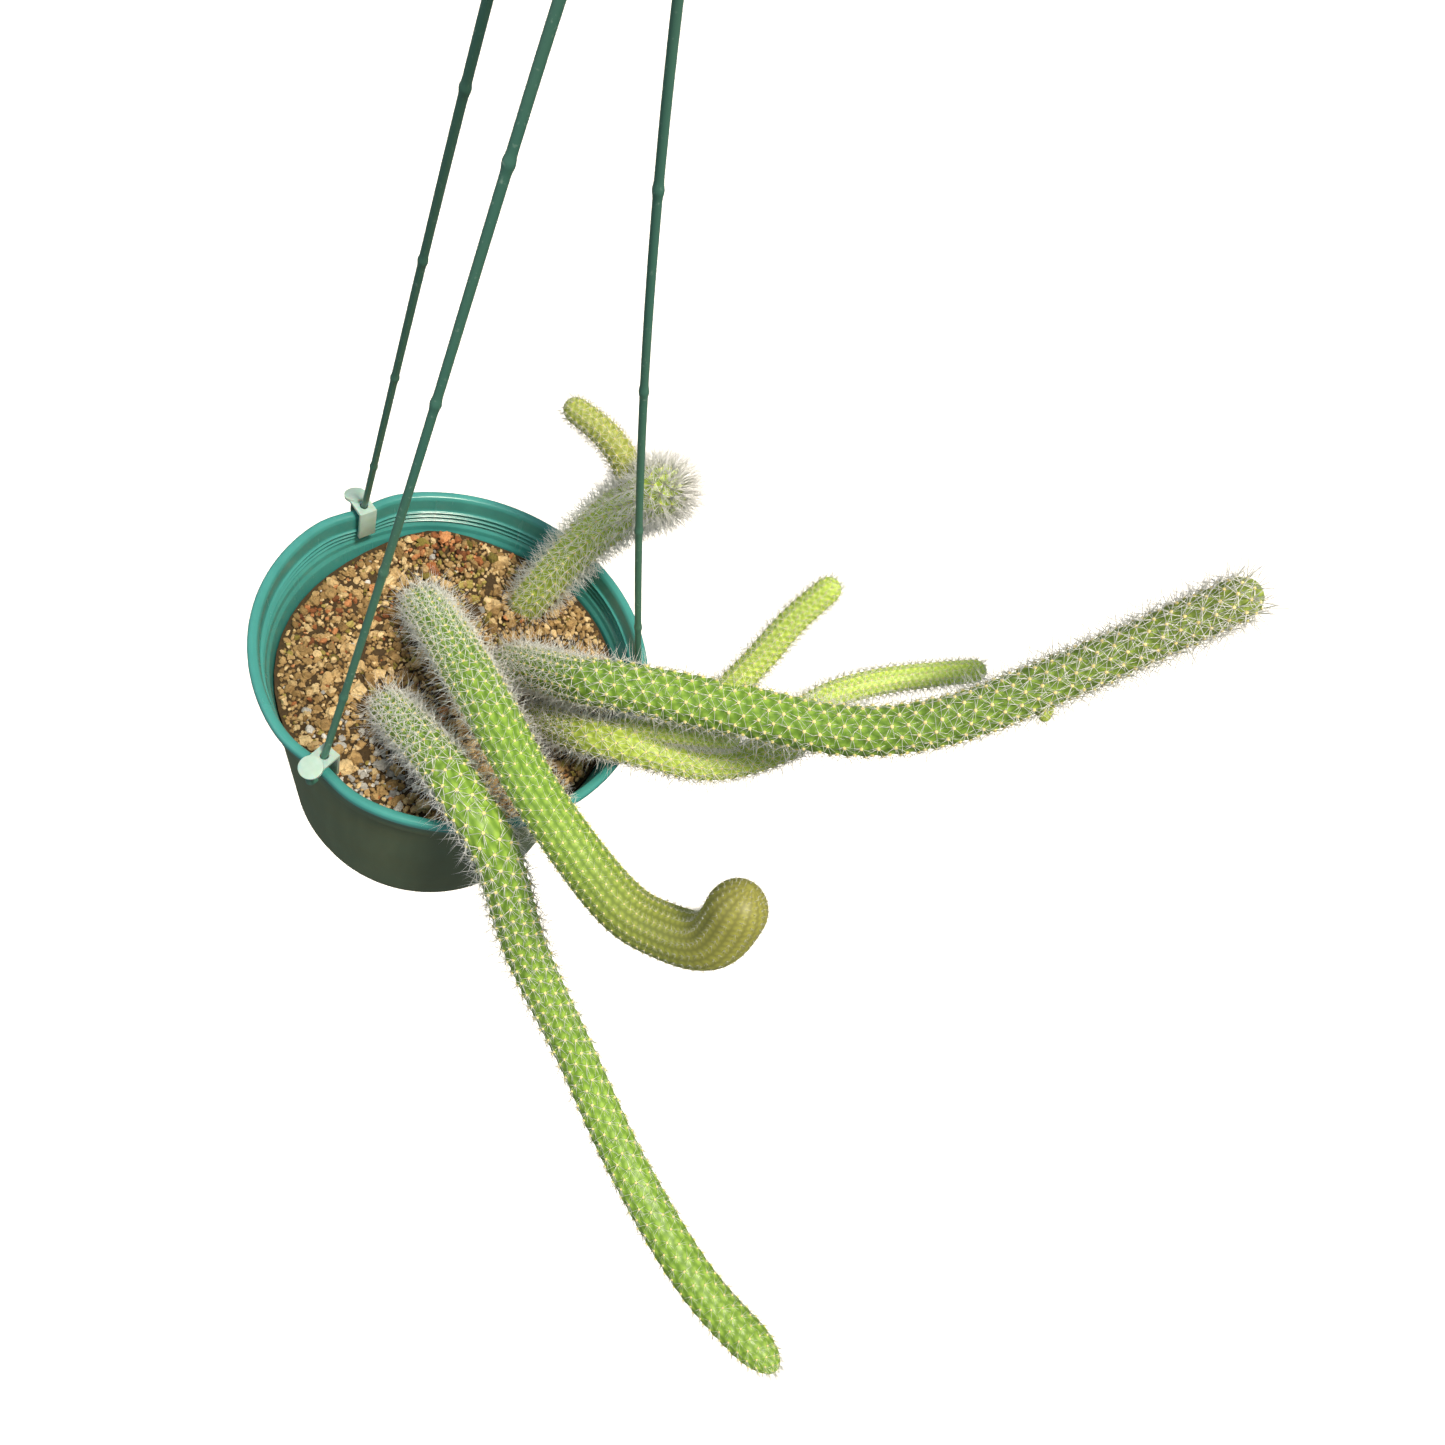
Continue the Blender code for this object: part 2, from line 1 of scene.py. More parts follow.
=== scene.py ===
# %% [markdown]
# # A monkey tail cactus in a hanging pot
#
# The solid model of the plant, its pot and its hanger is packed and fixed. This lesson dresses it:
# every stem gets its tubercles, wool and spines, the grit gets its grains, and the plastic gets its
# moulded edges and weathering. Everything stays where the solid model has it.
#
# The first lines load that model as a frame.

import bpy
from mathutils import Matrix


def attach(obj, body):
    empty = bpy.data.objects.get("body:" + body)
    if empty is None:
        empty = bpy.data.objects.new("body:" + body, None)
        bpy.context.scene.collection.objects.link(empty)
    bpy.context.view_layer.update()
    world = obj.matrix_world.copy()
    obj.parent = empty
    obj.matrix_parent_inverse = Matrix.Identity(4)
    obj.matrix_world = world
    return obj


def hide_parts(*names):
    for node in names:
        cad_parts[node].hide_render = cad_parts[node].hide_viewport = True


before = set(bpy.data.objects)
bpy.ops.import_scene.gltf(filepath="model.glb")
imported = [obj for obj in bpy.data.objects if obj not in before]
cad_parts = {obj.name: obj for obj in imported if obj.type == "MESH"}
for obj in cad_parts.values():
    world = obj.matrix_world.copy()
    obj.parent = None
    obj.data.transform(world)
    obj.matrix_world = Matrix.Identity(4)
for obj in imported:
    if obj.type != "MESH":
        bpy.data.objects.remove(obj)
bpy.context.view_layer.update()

# %% [markdown]
# ## Units and small helpers
#
# All lengths below are millimetres, measured from the centre of the pot's rim with +Z up, because
# that is how a pot is measured with a ruler. The frame is in metres and has its origin where the
# hook hangs, 360 mm above the rim. One function, `to_frame`, goes from the first to the second.
#
# Meshes are made from plain lists of points and faces. It is the quickest way for shapes that
# follow a rule, and it leaves no modifier to keep track of.

# %% Points, meshes and pieces
import math
from functools import partial

import bmesh
import bpy
import numpy as np
from mathutils import Matrix, Vector

MM = 0.001
HANG_Z = 360.0


def to_frame(points):
    """Millimetres from the rim's centre become metres from the point the hook hangs on."""
    moved = np.array(points, float).reshape(-1, 3)
    moved[:, 2] -= HANG_Z
    return moved * MM


def store(mesh, key, values):
    """Keeps one number for each point of a mesh, which materials can read."""
    layer = mesh.attributes.new(key, "FLOAT", "POINT")
    layer.data.foreach_set("value", np.asarray(values, np.float32))


def new_mesh(name, points, faces, attributes=None, sharp=None):
    """A smooth-shaded mesh with stored numbers, and with sharp edges above an angle in degrees."""
    mesh = bpy.data.meshes.new(name)
    mesh.from_pydata(to_frame(points).tolist(), [], faces)
    for key, values in (attributes or {}).items():
        store(mesh, key, values)
    mesh.shade_smooth()
    if sharp:
        mesh.set_sharp_from_angle(angle=math.radians(sharp))
    mesh.update()
    return mesh


def put_in_scene(name, data):
    """A new object in the scene that shows a mesh, a lamp or a camera."""
    thing = bpy.data.objects.new(name, data)
    bpy.context.scene.collection.objects.link(thing)
    return thing


def add_piece(name, mesh, finish, replaces=()):
    """One visible piece that rides on the part and stands for the nodes it replaces."""
    piece = put_in_scene(name, mesh)
    mesh.materials.clear()
    mesh.materials.append(finish)
    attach(piece, "root")
    if replaces:
        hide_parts(*replaces)
    triangles = sum(len(face.vertices) - 2 for face in mesh.polygons)
    print(f"{name}: {triangles} triangles")

# %% [markdown]
# ## Building materials
#
# A material is a small tree of nodes that ends in one Principled shader. A few helpers keep the
# trees short to write. `colour` turns a hex colour, as read off a screen, into the linear numbers
# that light works with. `add_node` adds any node with its settings and its links, and gives back
# the output that the next node needs. `new_finish` starts a material. It also gives back the
# object's coordinates, on which every pattern is laid, and `add_node` tied to the new tree.
#
# Every pattern is sized from a real length: `per_mm` turns the size of a speck or grain into the
# scale that a texture needs when its coordinates are in metres.

# %% Colours and nodes
def colour(hex_code):
    """An sRGB hex colour as linear red, green, blue and alpha."""
    parts = [int(hex_code[i:i + 2], 16) / 255 for i in (1, 3, 5)]
    return tuple(c / 12.92 if c < 0.04045 else ((c + 0.055) / 1.055) ** 2.4 for c in parts) + (1.0,)


def per_mm(size):
    """The texture scale at which a pattern repeats about once in so many millimetres."""
    return 1.0 / (size * MM)


def set_inputs(node, inputs):
    """Fills a node's inputs with numbers, hex colours or links from the outputs of other nodes."""
    for key, value in inputs.items():
        if isinstance(value, bpy.types.NodeSocket):
            node.id_data.links.new(value, node.inputs[key])
        else:
            node.inputs[key].default_value = colour(value) if isinstance(value, str) else value


def add_node(tree, kind, inputs=None, output=0, **settings):
    """Adds a shader node with its settings and inputs, and gives back one of its outputs."""
    node = tree.nodes.new("ShaderNode" + kind)
    for key, value in settings.items():
        setattr(node, key, value)
    set_inputs(node, inputs or {})
    return node.outputs[output]


def new_finish(name, **values):
    """A material, its shader with some values set, its coordinates, and add_node for its tree."""
    finish = bpy.data.materials.new(name)
    finish.use_nodes = True
    shader = finish.node_tree.nodes["Principled BSDF"]
    set_inputs(shader, {key.replace("_", " "): value for key, value in values.items()})
    add = partial(add_node, finish.node_tree)
    return finish, shader, add("TexCoord", output="Object"), add


FAC, A, B = 0, 6, 7  # the sockets that a Mix node has for colours
RGBA = {"output": 2, "data_type": "RGBA"}

# %% [markdown]
# ## Paths
#
# Stems and rods are long and round, so each is a tube along a path. A path here is a smooth curve
# through a few points. It can be asked for its place at any distance along it, and for the two
# directions square to it. Those are carried along the curve without twisting, so that a pattern
# wound round the tube stays even.

# %% Smooth curves
def smooth_points(points, count=40):
    """A Catmull-Rom curve through the points."""
    pts = [np.array(p, float) for p in points]
    pts = [2 * pts[0] - pts[1]] + pts + [2 * pts[-1] - pts[-2]]
    fine = []
    for a, b, c, d in zip(pts, pts[1:], pts[2:], pts[3:]):
        for t in np.arange(count) / count:
            fine.append(0.5 * (2 * b + (c - a) * t + (2 * a - 5 * b + 4 * c - d) * t ** 2
                               + (3 * b - a - 3 * c + d) * t ** 3))
    return fine + [pts[-2]]


def unit(rows):
    return rows / np.linalg.norm(rows, axis=-1, keepdims=True)

# %% The Path class
class Path:
    """A curve with its length, and its place and directions at any distances along it."""

    def __init__(self, points):
        self.points = np.array(points, float)
        steps = np.linalg.norm(np.diff(self.points, axis=0), axis=1)
        self.far = np.concatenate([[0.0], np.cumsum(steps)])
        self.length = float(self.far[-1])
        self.ahead = unit(np.gradient(self.points, self.far, axis=0))
        start = (0.0, 0.0, 1.0) if abs(self.ahead[0][2]) < 0.9 else (1.0, 0.0, 0.0)
        side = np.cross(self.ahead[0], start)
        sides = []
        for way in self.ahead:
            side = unit(side - way * np.dot(side, way))
            sides.append(side)
        self.side = np.array(sides)

    def at(self, far):
        """Places, directions ahead and the two directions square to them, as rows."""
        def read(rows):
            return np.stack([np.interp(far, self.far, rows[:, k]) for k in range(3)], axis=-1)
        ahead = unit(read(self.ahead))
        side = read(self.side)
        side = unit(side - ahead * np.sum(side * ahead, axis=-1, keepdims=True))
        return read(self.points), ahead, side, np.cross(ahead, side)

# %% Blends, tubes and rings
def blend(low, high, value):
    """0 below low, 1 above high and a smooth rise between them."""
    t = np.clip((np.asarray(value, float) - low) / (high - low), 0, 1)
    return t * t * (3 - 2 * t)


def tube_faces(rows, sides, cap_start=True, cap_end=True):
    """The faces of a tube whose points are numbered row by row."""
    faces = []
    for j in range(rows - 1):
        low, high = j * sides, (j + 1) * sides
        for i in range(sides):
            k = (i + 1) % sides
            faces.append((low + i, low + k, high + k, high + i))
    if cap_start:
        faces.append(tuple(range(sides - 1, -1, -1)))
    if cap_end:
        faces.append(tuple(range((rows - 1) * sides, rows * sides)))
    return faces


def shifted(faces, start):
    """The same faces with their points numbered from another start."""
    return [tuple(start + v for v in face) for face in faces]


def circle(count):
    """The cosines and sines of angles spread evenly round a circle."""
    angle = 2 * math.pi * np.arange(count) / count
    return np.cos(angle), np.sin(angle)


def rings(side, up, count):
    """For each row, a ring of directions in the plane of its two directions."""
    cosine, sine = circle(count)
    return side[:, None] * cosine[None, :, None] + up[:, None] * sine[None, :, None]


def tube(path, radius, sides):
    """The points and faces of a tube with one radius for each of the path's points."""
    centre, _, side, up = path.at(path.far)
    points = centre[:, None] + rings(side, up, sides) * np.asarray(radius)[:, None, None]
    return points.reshape(-1, 3), tube_faces(len(path.far), sides)


def around(r, z, angle, across=0.0):
    """A point from its distance to the pot's axis, its height, its angle and a sideways offset."""
    out = np.array([math.cos(angle), math.sin(angle), 0.0])
    left = np.array([-math.sin(angle), math.cos(angle), 0.0])
    return out * r + left * across + np.array([0.0, 0.0, z])

# %% [markdown]
# ## The pot: injection-moulded polypropylene
#
# The pot is a soft green plastic shell, a little over a millimetre thick. It has a rolled lip, fine
# ridges and two steps inside its mouth, and a tapered wall. Such a shape is turned round an axis,
# so its outline is enough: a row of distances from the axis and heights.
#
# Moulded plastic has no knife-sharp corner. `soften` replaces each corner of the outline by a small
# curve of a fixed size, which catches a line of light as the real edge does. The wall gives way a
# little beside each clip, which is what `rim_dent` does.

# %% Outline of the pot
RIM_R = 75.0
POT_H = 120.5
WALL = 1.3
FLOOR_Z = 2.2 - POT_H
LOWER_R, LOWER_Z = 59.3, -107.0
UPPER_R, UPPER_Z = 68.2, -24.0
FOOT_OUTLINE = [(47.5, -POT_H), (53.0, -POT_H + 1.2), (57.1, -POT_H + 5.4)]
LIP_OUTLINE = [
    (68.8, -20.6), (70.2, -19.2), (70.5, -17.0), (71.8, -15.2), (72.4, -4.8), (74.1, -4.4),
    (RIM_R, -3.3), (RIM_R, -1.1), (74.3, -0.2),
]
MOUTH_OUTLINE = [(73.2, 0.0), (71.7, -0.5), (71.1, -1.8), (70.9, -6.8)]
RIDGE_HEIGHTS = [-8.0, -10.5, -13.0]
RIDGE_TOP_R, RIDGE_FOOT_R = 69.7, 70.7
STEP_OUTLINE = [(69.3, -15.6), (69.0, -17.6), (67.9, -19.2), (67.4, -22.0)]
CLIP_ANGLES = [math.radians(158.2), math.radians(263.5), math.radians(21)]
CLIP_DENTS = [1.0, 1.0, 0.4]
DENT = 2.5
DENT_WIDTH = math.radians(9)
CORNER = 0.35
POT_TURNS = 192


def soften(outline, reach):
    """The outline with each corner replaced by three points on a small curve."""
    pts = [np.array(p, float) for p in outline]
    soft = [pts[0]]
    for before, corner, after in zip(pts, pts[1:], pts[2:]):
        to_before, to_after = before - corner, after - corner
        a = corner + to_before * min(reach / np.linalg.norm(to_before), 0.45)
        b = corner + to_after * min(reach / np.linalg.norm(to_after), 0.45)
        soft += [a, (a + 2 * corner + b) / 4, b]
    return soft + [pts[-1]]


def rim_dent(angle, z):
    """How far the wall is pulled in at an angle and height, beside the clips."""
    total = np.zeros_like(angle)
    for clip, share in zip(CLIP_ANGLES, CLIP_DENTS):
        away = np.remainder(angle - clip + math.pi, 2 * math.pi) - math.pi
        total -= DENT * share * np.exp(-((away / DENT_WIDTH) ** 2))
    return total * blend(-23.0, -5.0, z)


def turned(outline, turns, push=None):
    """Points and faces of an outline turned round Z; its two ends lie on the axis."""
    cosine, sine = circle(turns)
    angle = 2 * math.pi * np.arange(turns) / turns
    points = [(0.0, 0.0, outline[0][1])]
    for r, z in outline[1:-1]:
        radius = r + (push(angle, z) if push else 0.0 * angle)
        points += list(zip(radius * cosine, radius * sine, np.full(turns, z)))
    points.append((0.0, 0.0, outline[-1][1]))
    rows = len(outline) - 2
    faces = shifted(tube_faces(rows, turns, False, False), 1)
    top = 1 + (rows - 1) * turns
    for i in range(turns):
        k = (i + 1) % turns
        faces.append((0, 1 + k, 1 + i))
        faces.append((top + i, top + k, len(points) - 1))
    return points, faces

# %% [markdown]
# The plastic is coloured right through in a blue-green. Inside and on the lip it is clean and a
# little glossy. Outside it is a dull grey-olive, partly a film of dust and partly painted shade of
# the wall that turns away from the light. This second colour is laid on by a number stored with
# each point: 1 outside and 0 elsewhere.
#
# Polypropylene has an index of refraction of about 1.49 and no metallic part. A fine mould grain
# and a few long scuffs break up its reflections.

# %% Polypropylene, with dust and painted shade outside
pot_plastic, shader, place, add = new_finish(
    "moulded_polypropylene", IOR=1.49, Subsurface_Weight=0.06, Subsurface_Scale=0.002)
dust_and_shade = add("Attribute", output="Fac", attribute_name="dust_and_shade")
blotch = add("TexNoise", {"Vector": place, "Scale": per_mm(28), "Detail": 6.0, "Roughness": 0.62})
long_way = add("Mapping", {"Vector": place, "Scale": (1.0, 1.0, 0.12)})
streak = add("TexNoise", {"Vector": long_way, "Scale": per_mm(5), "Detail": 5.0})
mottle = add("Mix", {FAC: blotch, A: "#2b746f", B: "#4c9d96"}, **RGBA)
# painted shade: the outside wall gets a dull grey-olive, partly a dust film and partly painted shade
dusty_shaded_olive = add("Mix", {FAC: streak, A: "#4b5537", B: "#646d4e"}, **RGBA)
# patches where that dusty, painted-shade olive is a little thinner
worn = add("MapRange", {
    "Value": blotch, "From Min": 0.25, "From Max": 0.75, "To Min": 0.88, "To Max": 1.0})
amount = add("Math", {0: dust_and_shade, 1: worn}, operation="MULTIPLY")
skin = add("Mix", {FAC: amount, A: mottle, B: dusty_shaded_olive}, **RGBA)
gloss = add("MapRange", {"Value": amount, "To Min": 0.17, "To Max": 0.6})
uneven = add("Math", {0: streak, 1: 0.16, 2: gloss}, operation="MULTIPLY_ADD")
grain = add("TexNoise", {"Vector": place, "Scale": per_mm(0.9), "Detail": 3.0})
bump = add("Bump", {"Height": grain, "Strength": 0.12, "Distance": 0.2 * MM})
set_inputs(shader, {"Base Color": skin, "Roughness": uneven, "Normal": bump})

# %% Cut, join and round solids
def solid_object(name, points, faces):
    """A helper solid for a Boolean, turned the right way out."""
    mesh = new_mesh(name, points, faces)
    build = bmesh.new()
    build.from_mesh(mesh)
    bmesh.ops.recalc_face_normals(build, faces=build.faces)
    build.to_mesh(mesh)
    build.free()
    return put_in_scene(name, mesh)


def solved_mesh(obj):
    """The mesh that an object has once its modifiers are worked out."""
    graph = bpy.context.evaluated_depsgraph_get()
    return bpy.data.meshes.new_from_object(obj.evaluated_get(graph))


def combine(target, helpers, operation):
    """Cuts helper solids out of an object, or joins them to it, and removes them."""
    for helper in helpers:
        step = target.modifiers.new("combine", "BOOLEAN")
        step.operation = operation
        step.object = helper
    solved = solved_mesh(target)
    target.modifiers.clear()
    target.data = solved
    for helper in helpers:
        bpy.data.objects.remove(helper, do_unlink=True)


def finished_mesh(obj, sharp, bevel=0.0):
    """The object's mesh, shaded smooth between sharp edges, with its object removed."""
    if bevel:
        step = obj.modifiers.new("edge", "BEVEL")
        step.width = bevel * MM
        step.segments = 2
        step.limit_method = "ANGLE"
    mesh = solved_mesh(obj)
    bpy.data.objects.remove(obj, do_unlink=True)
    mesh.shade_smooth()
    mesh.set_sharp_from_angle(angle=math.radians(sharp))
    return mesh

# %% Make the pot
HOLE_R = 4.0
HOLE_RING_R = 30.0
HOLE_COUNT = 4


def pot_outlines():
    """The outer and the inner half of the outline."""
    outer = [(0.0, -POT_H)] + FOOT_OUTLINE + [(LOWER_R, LOWER_Z), (UPPER_R, UPPER_Z)] + LIP_OUTLINE
    inner = list(MOUTH_OUTLINE)
    for ridge in RIDGE_HEIGHTS:
        inner += [(RIDGE_FOOT_R, ridge + 0.25), (RIDGE_TOP_R, ridge), (RIDGE_FOOT_R, ridge - 1.2)]
    inner += STEP_OUTLINE + [(UPPER_R - WALL, UPPER_Z - 0.5), (LOWER_R - WALL, LOWER_Z)]
    inner += [(55.4, FLOOR_Z + 4.6), (51.4, FLOOR_Z + 1.2), (46.4, FLOOR_Z), (0.0, FLOOR_Z)]
    return outer, inner


def make_pot():
    outer, inner = pot_outlines()
    points, faces = turned(soften(outer + inner, CORNER), POT_TURNS, rim_dent)
    shell = solid_object("shell", points, faces)
    drills = []
    for k in range(HOLE_COUNT):
        angle = 2 * math.pi * (k + 0.5) / HOLE_COUNT
        drill = Path([around(HOLE_RING_R, z, angle) for z in (-POT_H - 3, -POT_H + 6)])
        drills.append(solid_object("drill", *tube(drill, [HOLE_R, HOLE_R], 32)))
    combine(shell, drills, "DIFFERENCE")
    mesh = finished_mesh(shell, 40)
    places = np.array([v.co for v in mesh.vertices]) / MM
    radius = np.hypot(places[:, 0], places[:, 1])
    height = places[:, 2] + HANG_Z
    radius -= rim_dent(np.arctan2(places[:, 1], places[:, 0]), height)
    outer, inner = (np.array(half) for half in pot_outlines())
    middle_r = (np.interp(height, outer[:, 1], outer[:, 0])
                + np.interp(height, inner[::-1, 1], inner[::-1, 0])) / 2
    outside = (radius > middle_r) | (height < FLOOR_Z - 0.5)
    # outside points get the grey-olive: partly dust, partly painted shade
    store(mesh, "dust_and_shade", np.where(outside, 1 - blend(-5.6, -4.6, height), 0.0))
    return mesh


add_piece("pot_shell", make_pot(), pot_plastic, ["pot"])

# %% [markdown]
# ## The hanger: three moulded rods, a hub and a hook
#
# The rods are moulded in one piece of a darker green plastic, 2.4 mm thick, with a small knob
# every few centimetres. Each ends in a foot that curls round the lip and grips under it. Tubes
# along paths give them, with a radius that swells at each knob.
#
# The hub is turned like the pot, and three sockets are cut into it for the rods. The hook is a
# thicker round bar bent into an open loop.

# %% Rod paths
ROD_R = 1.2
KNOB_HEIGHTS = [[34.0, 87.5, 140.5, 196.0], [37.0, 94.0, 151.5, 210.0], [45.5, 92.0, 144.0, 198.5]]
KNOB_RISE = 0.3
ROD_FOOT = [
    (74.6, -8.4), (77.2, -7.8), (78.3, -5.6), (78.2, -1.6), (77.0, 1.2), (74.6, 1.8), (72.4, 2.6),
]
ROD_FOOT_END = (70.8, 6.5)
HUB_Z, HUB_H, HUB_R = 305.0, 10.0, 12.5
SOCKET_R, SOCKET_DEPTH = 8.0, 5.0
HUB_TWIST = math.radians(60)
ROD_BOWS = [-0.4, 1.3, -5.1]
BOW_SIDE = np.array([0.863, 0.505, 0.0])
ROD_LEAN = np.array([-7.0, -0.8, 0.0])


def rod_path(k, extra=0.0):
    """From under the lip, over the rim, then up with a slight bow and lean into the hub."""
    clip = CLIP_ANGLES[k]
    inset = DENT * CLIP_DENTS[k]
    foot = [around(r - inset, z, clip) for r, z in ROD_FOOT]
    start = around(ROD_FOOT_END[0] - inset, ROD_FOOT_END[1], clip)
    end = around(SOCKET_R, HUB_Z + SOCKET_DEPTH, clip + HUB_TWIST)
    shaft = []
    for z in np.arange(12.0, HUB_Z, 0.75):
        t = (z - start[2]) / (end[2] - start[2])
        aside = BOW_SIDE * ROD_BOWS[k] * math.sin(math.pi * t) + ROD_LEAN * t * (1 - t ** 8)
        shaft.append(start + (end - start) * t + aside)
    shaft.append(end + unit(end - shaft[-1]) * extra)
    return Path(smooth_points(foot + [start], 8) + shaft)


def rod_radius(path, k, grow=0.0):
    height = path.points[:, 2]
    rise = np.zeros_like(height)
    for knob in KNOB_HEIGHTS[k]:
        rise = np.maximum(rise, np.exp(-(((height - knob) / 1.2) ** 2)))
    return ROD_R + KNOB_RISE * rise + grow

# %% [markdown]
# This plastic has seen years of sun too. It is a dark blue-green that has faded to olive in places,
# so a soft noise moves between the two. The roughness lies near 0.35, which leaves a soft line of
# light along each rod.

# %% Faded green plastic
rod_plastic, shader, place, add = new_finish("moulded_green_plastic", IOR=1.49)
fade = add("TexNoise", {"Vector": place, "Scale": per_mm(60), "Detail": 3.0})
speck = add("TexNoise", {"Vector": place, "Scale": per_mm(1.2), "Detail": 4.0})
deep = add("Mix", {FAC: fade, A: "#2e665d", B: "#4e7059"}, **RGBA)
scuffs = add("MapRange", {"Value": speck, "From Min": 0.62, "From Max": 0.8, "To Max": 0.45})
worn = add("Mix", {FAC: scuffs, A: deep, B: "#9fb8a6"}, **RGBA)
rough = add("MapRange", {"Value": speck, "To Min": 0.24, "To Max": 0.44})
bump = add("Bump", {"Height": speck, "Strength": 0.15, "Distance": 0.15 * MM})
set_inputs(shader, {"Base Color": worn, "Roughness": rough, "Normal": bump})

# %% Make the rods, hub and hook
ROD_SIDES = 16
ROOM_SIDES = 12
ROD_END_SHARES = (0.55, 0.85, 0.97)
GAP = 0.35
NECK_OUTLINE = [(5.5, 2.0), (4.2, 6.0)]
HOOK_WIRE_R = 3.0
HOOK_R = 16.0
HOOK_CENTRE_Z = 347.0
HOOK_FROM, HOOK_TO = math.radians(-68), math.radians(204)
HOOK_SIDES = 24
HOOK_END_SHARES = (0.96, 0.85, 0.6)


def make_rod(k):
    path = rod_path(k)
    radius = rod_radius(path, k)
    radius[:3] *= ROD_END_SHARES
    return new_mesh("rod", *tube(path, radius, ROD_SIDES), sharp=60)


def rod_room(k, spare):
    """A solid a little thicker than the rod, to cut the rod's room out of its neighbours."""
    path = rod_path(k, spare)
    return solid_object("room", *tube(path, rod_radius(path, k, spare), ROOM_SIDES))


def make_hook():
    top = HUB_Z + HUB_H
    outline = [(0.0, HUB_Z), (HUB_R - 1, HUB_Z), (HUB_R, HUB_Z + 1), (HUB_R, top - 2), (HUB_R - 3, top)]
    outline += [(r, top + rise) for r, rise in NECK_OUTLINE]
    outline.append((0.0, top + NECK_OUTLINE[-1][1]))
    hub = solid_object("hub", *turned(soften(outline, 0.6), 64))
    bend = [np.array([0, 0, top]), np.array([0, 0, HOOK_CENTRE_Z - HOOK_R - HOOK_WIRE_R])]
    for angle in np.linspace(HOOK_FROM, HOOK_TO, 60):
        bend.append(np.array([HOOK_R * math.cos(angle), 0, HOOK_CENTRE_Z + HOOK_R * math.sin(angle)]))
    path = Path(bend)
    radius = np.full(len(path.far), HOOK_WIRE_R)
    radius[-3:] *= HOOK_END_SHARES
    combine(hub, [solid_object("wire", *tube(path, radius, HOOK_SIDES))], "UNION")
    combine(hub, [rod_room(k, GAP + 0.1) for k in range(3)], "DIFFERENCE")
    return finished_mesh(hub, 40)


for k in range(3):
    add_piece(f"rod_{k + 1}", make_rod(k), rod_plastic, [f"hanger_rod_{k + 1}"])
add_piece("hub_and_hook", make_hook(), rod_plastic, ["hanger_hook"])

# %% [markdown]
# ## The clips: milky polyethylene
#
# Where each rod passes the rim, a small clip of soft, milky plastic straddles the wall. It has a
# flap inside, a bridge over the lip and a round ear outside. Flap and bridge are one bent profile
# pushed sideways, the ear is a short disc, and a Boolean joins the two. A bevel then rounds every
# edge, as moulding does.
#
# Low-density polyethylene lets light in and scatters it. A share of subsurface scattering and of
# transmission gives the pale glow that the clips have in the sun. Its index is 1.51.

# %% Milky polyethylene
clip_plastic, shader, place, add = new_finish(
    "milky_polyethylene", IOR=1.51, Subsurface_Weight=0.5, Subsurface_Scale=0.002,
    Transmission_Weight=0.25)
cloud = add("TexNoise", {"Vector": place, "Scale": per_mm(3.5), "Detail": 4.0})
milk = add("Mix", {FAC: cloud, A: "#a0c2b4", B: "#cbdfd6"}, **RGBA)
rough = add("MapRange", {"Value": cloud, "To Min": 0.26, "To Max": 0.44})
set_inputs(shader, {"Base Color": milk, "Roughness": rough})

# %% Make the clips
SADDLE_OUTLINE = [(67.7, -9.5), (68.8, -9.5), (68.8, 3.4), (75.9, 3.4), (75.9, 4.7), (67.7, 4.7)]
SADDLE_WIDTH = 7.0
EAR_R = 4.2
EAR_THICK = 1.3
EAR_PLACE = (77.6, 4.1)
EAR_TILT = math.radians(18)


def make_clip(k):
    clip = CLIP_ANGLES[k]
    inset = DENT * CLIP_DENTS[k]
    half = SADDLE_WIDTH / 2
    points = [around(r - inset, z, clip, side) for side in (-half, half) for r, z in SADDLE_OUTLINE]
    saddle = solid_object("saddle", points, tube_faces(2, len(SADDLE_OUTLINE)))
    middle = around(EAR_PLACE[0] - inset, EAR_PLACE[1], clip)
    normal = around(math.sin(EAR_TILT), math.cos(EAR_TILT), clip) * EAR_THICK / 2
    disc = Path([middle - normal, middle + normal])
    combine(saddle, [solid_object("ear", *tube(disc, [EAR_R, EAR_R], 48))], "UNION")
    combine(saddle, [rod_room(k, GAP)], "DIFFERENCE")
    return finished_mesh(saddle, 50, bevel=0.22)


for k in range(3):
    add_piece(f"clip_{k + 1}", make_clip(k), clip_plastic, [f"rim_clip_{k + 1}"])

# %% [markdown]
# ## The stems: where everything is
#
# A stem is a tube with a pattern wound on it. The pattern is a lattice: low ribs run along the stem,
# every rib carries a row of tubercles, and the rows of neighbouring ribs are half a step apart. On
# top of each tubercle sits an areole, a dot of wool out of which the spines grow.
#
# Each stem is described by its path, its radii and a few habits: how far apart the areoles are, how
# long the spines are, how many each areole has, how high the tubercles stand, how wide the wool is
# and how young the skin is, which on the upright and the tucked stem is also painted light that
# makes their skin brighter. Such a habit is a row of values at even steps from the base to the tip.
# `groove` is the share of the relief that runs along the stem as ribs, and `sweep` is how far the
# spines lean towards the tip. The side shoots are short stems of their own, each with its
# thickness, how young its skin is and its path.

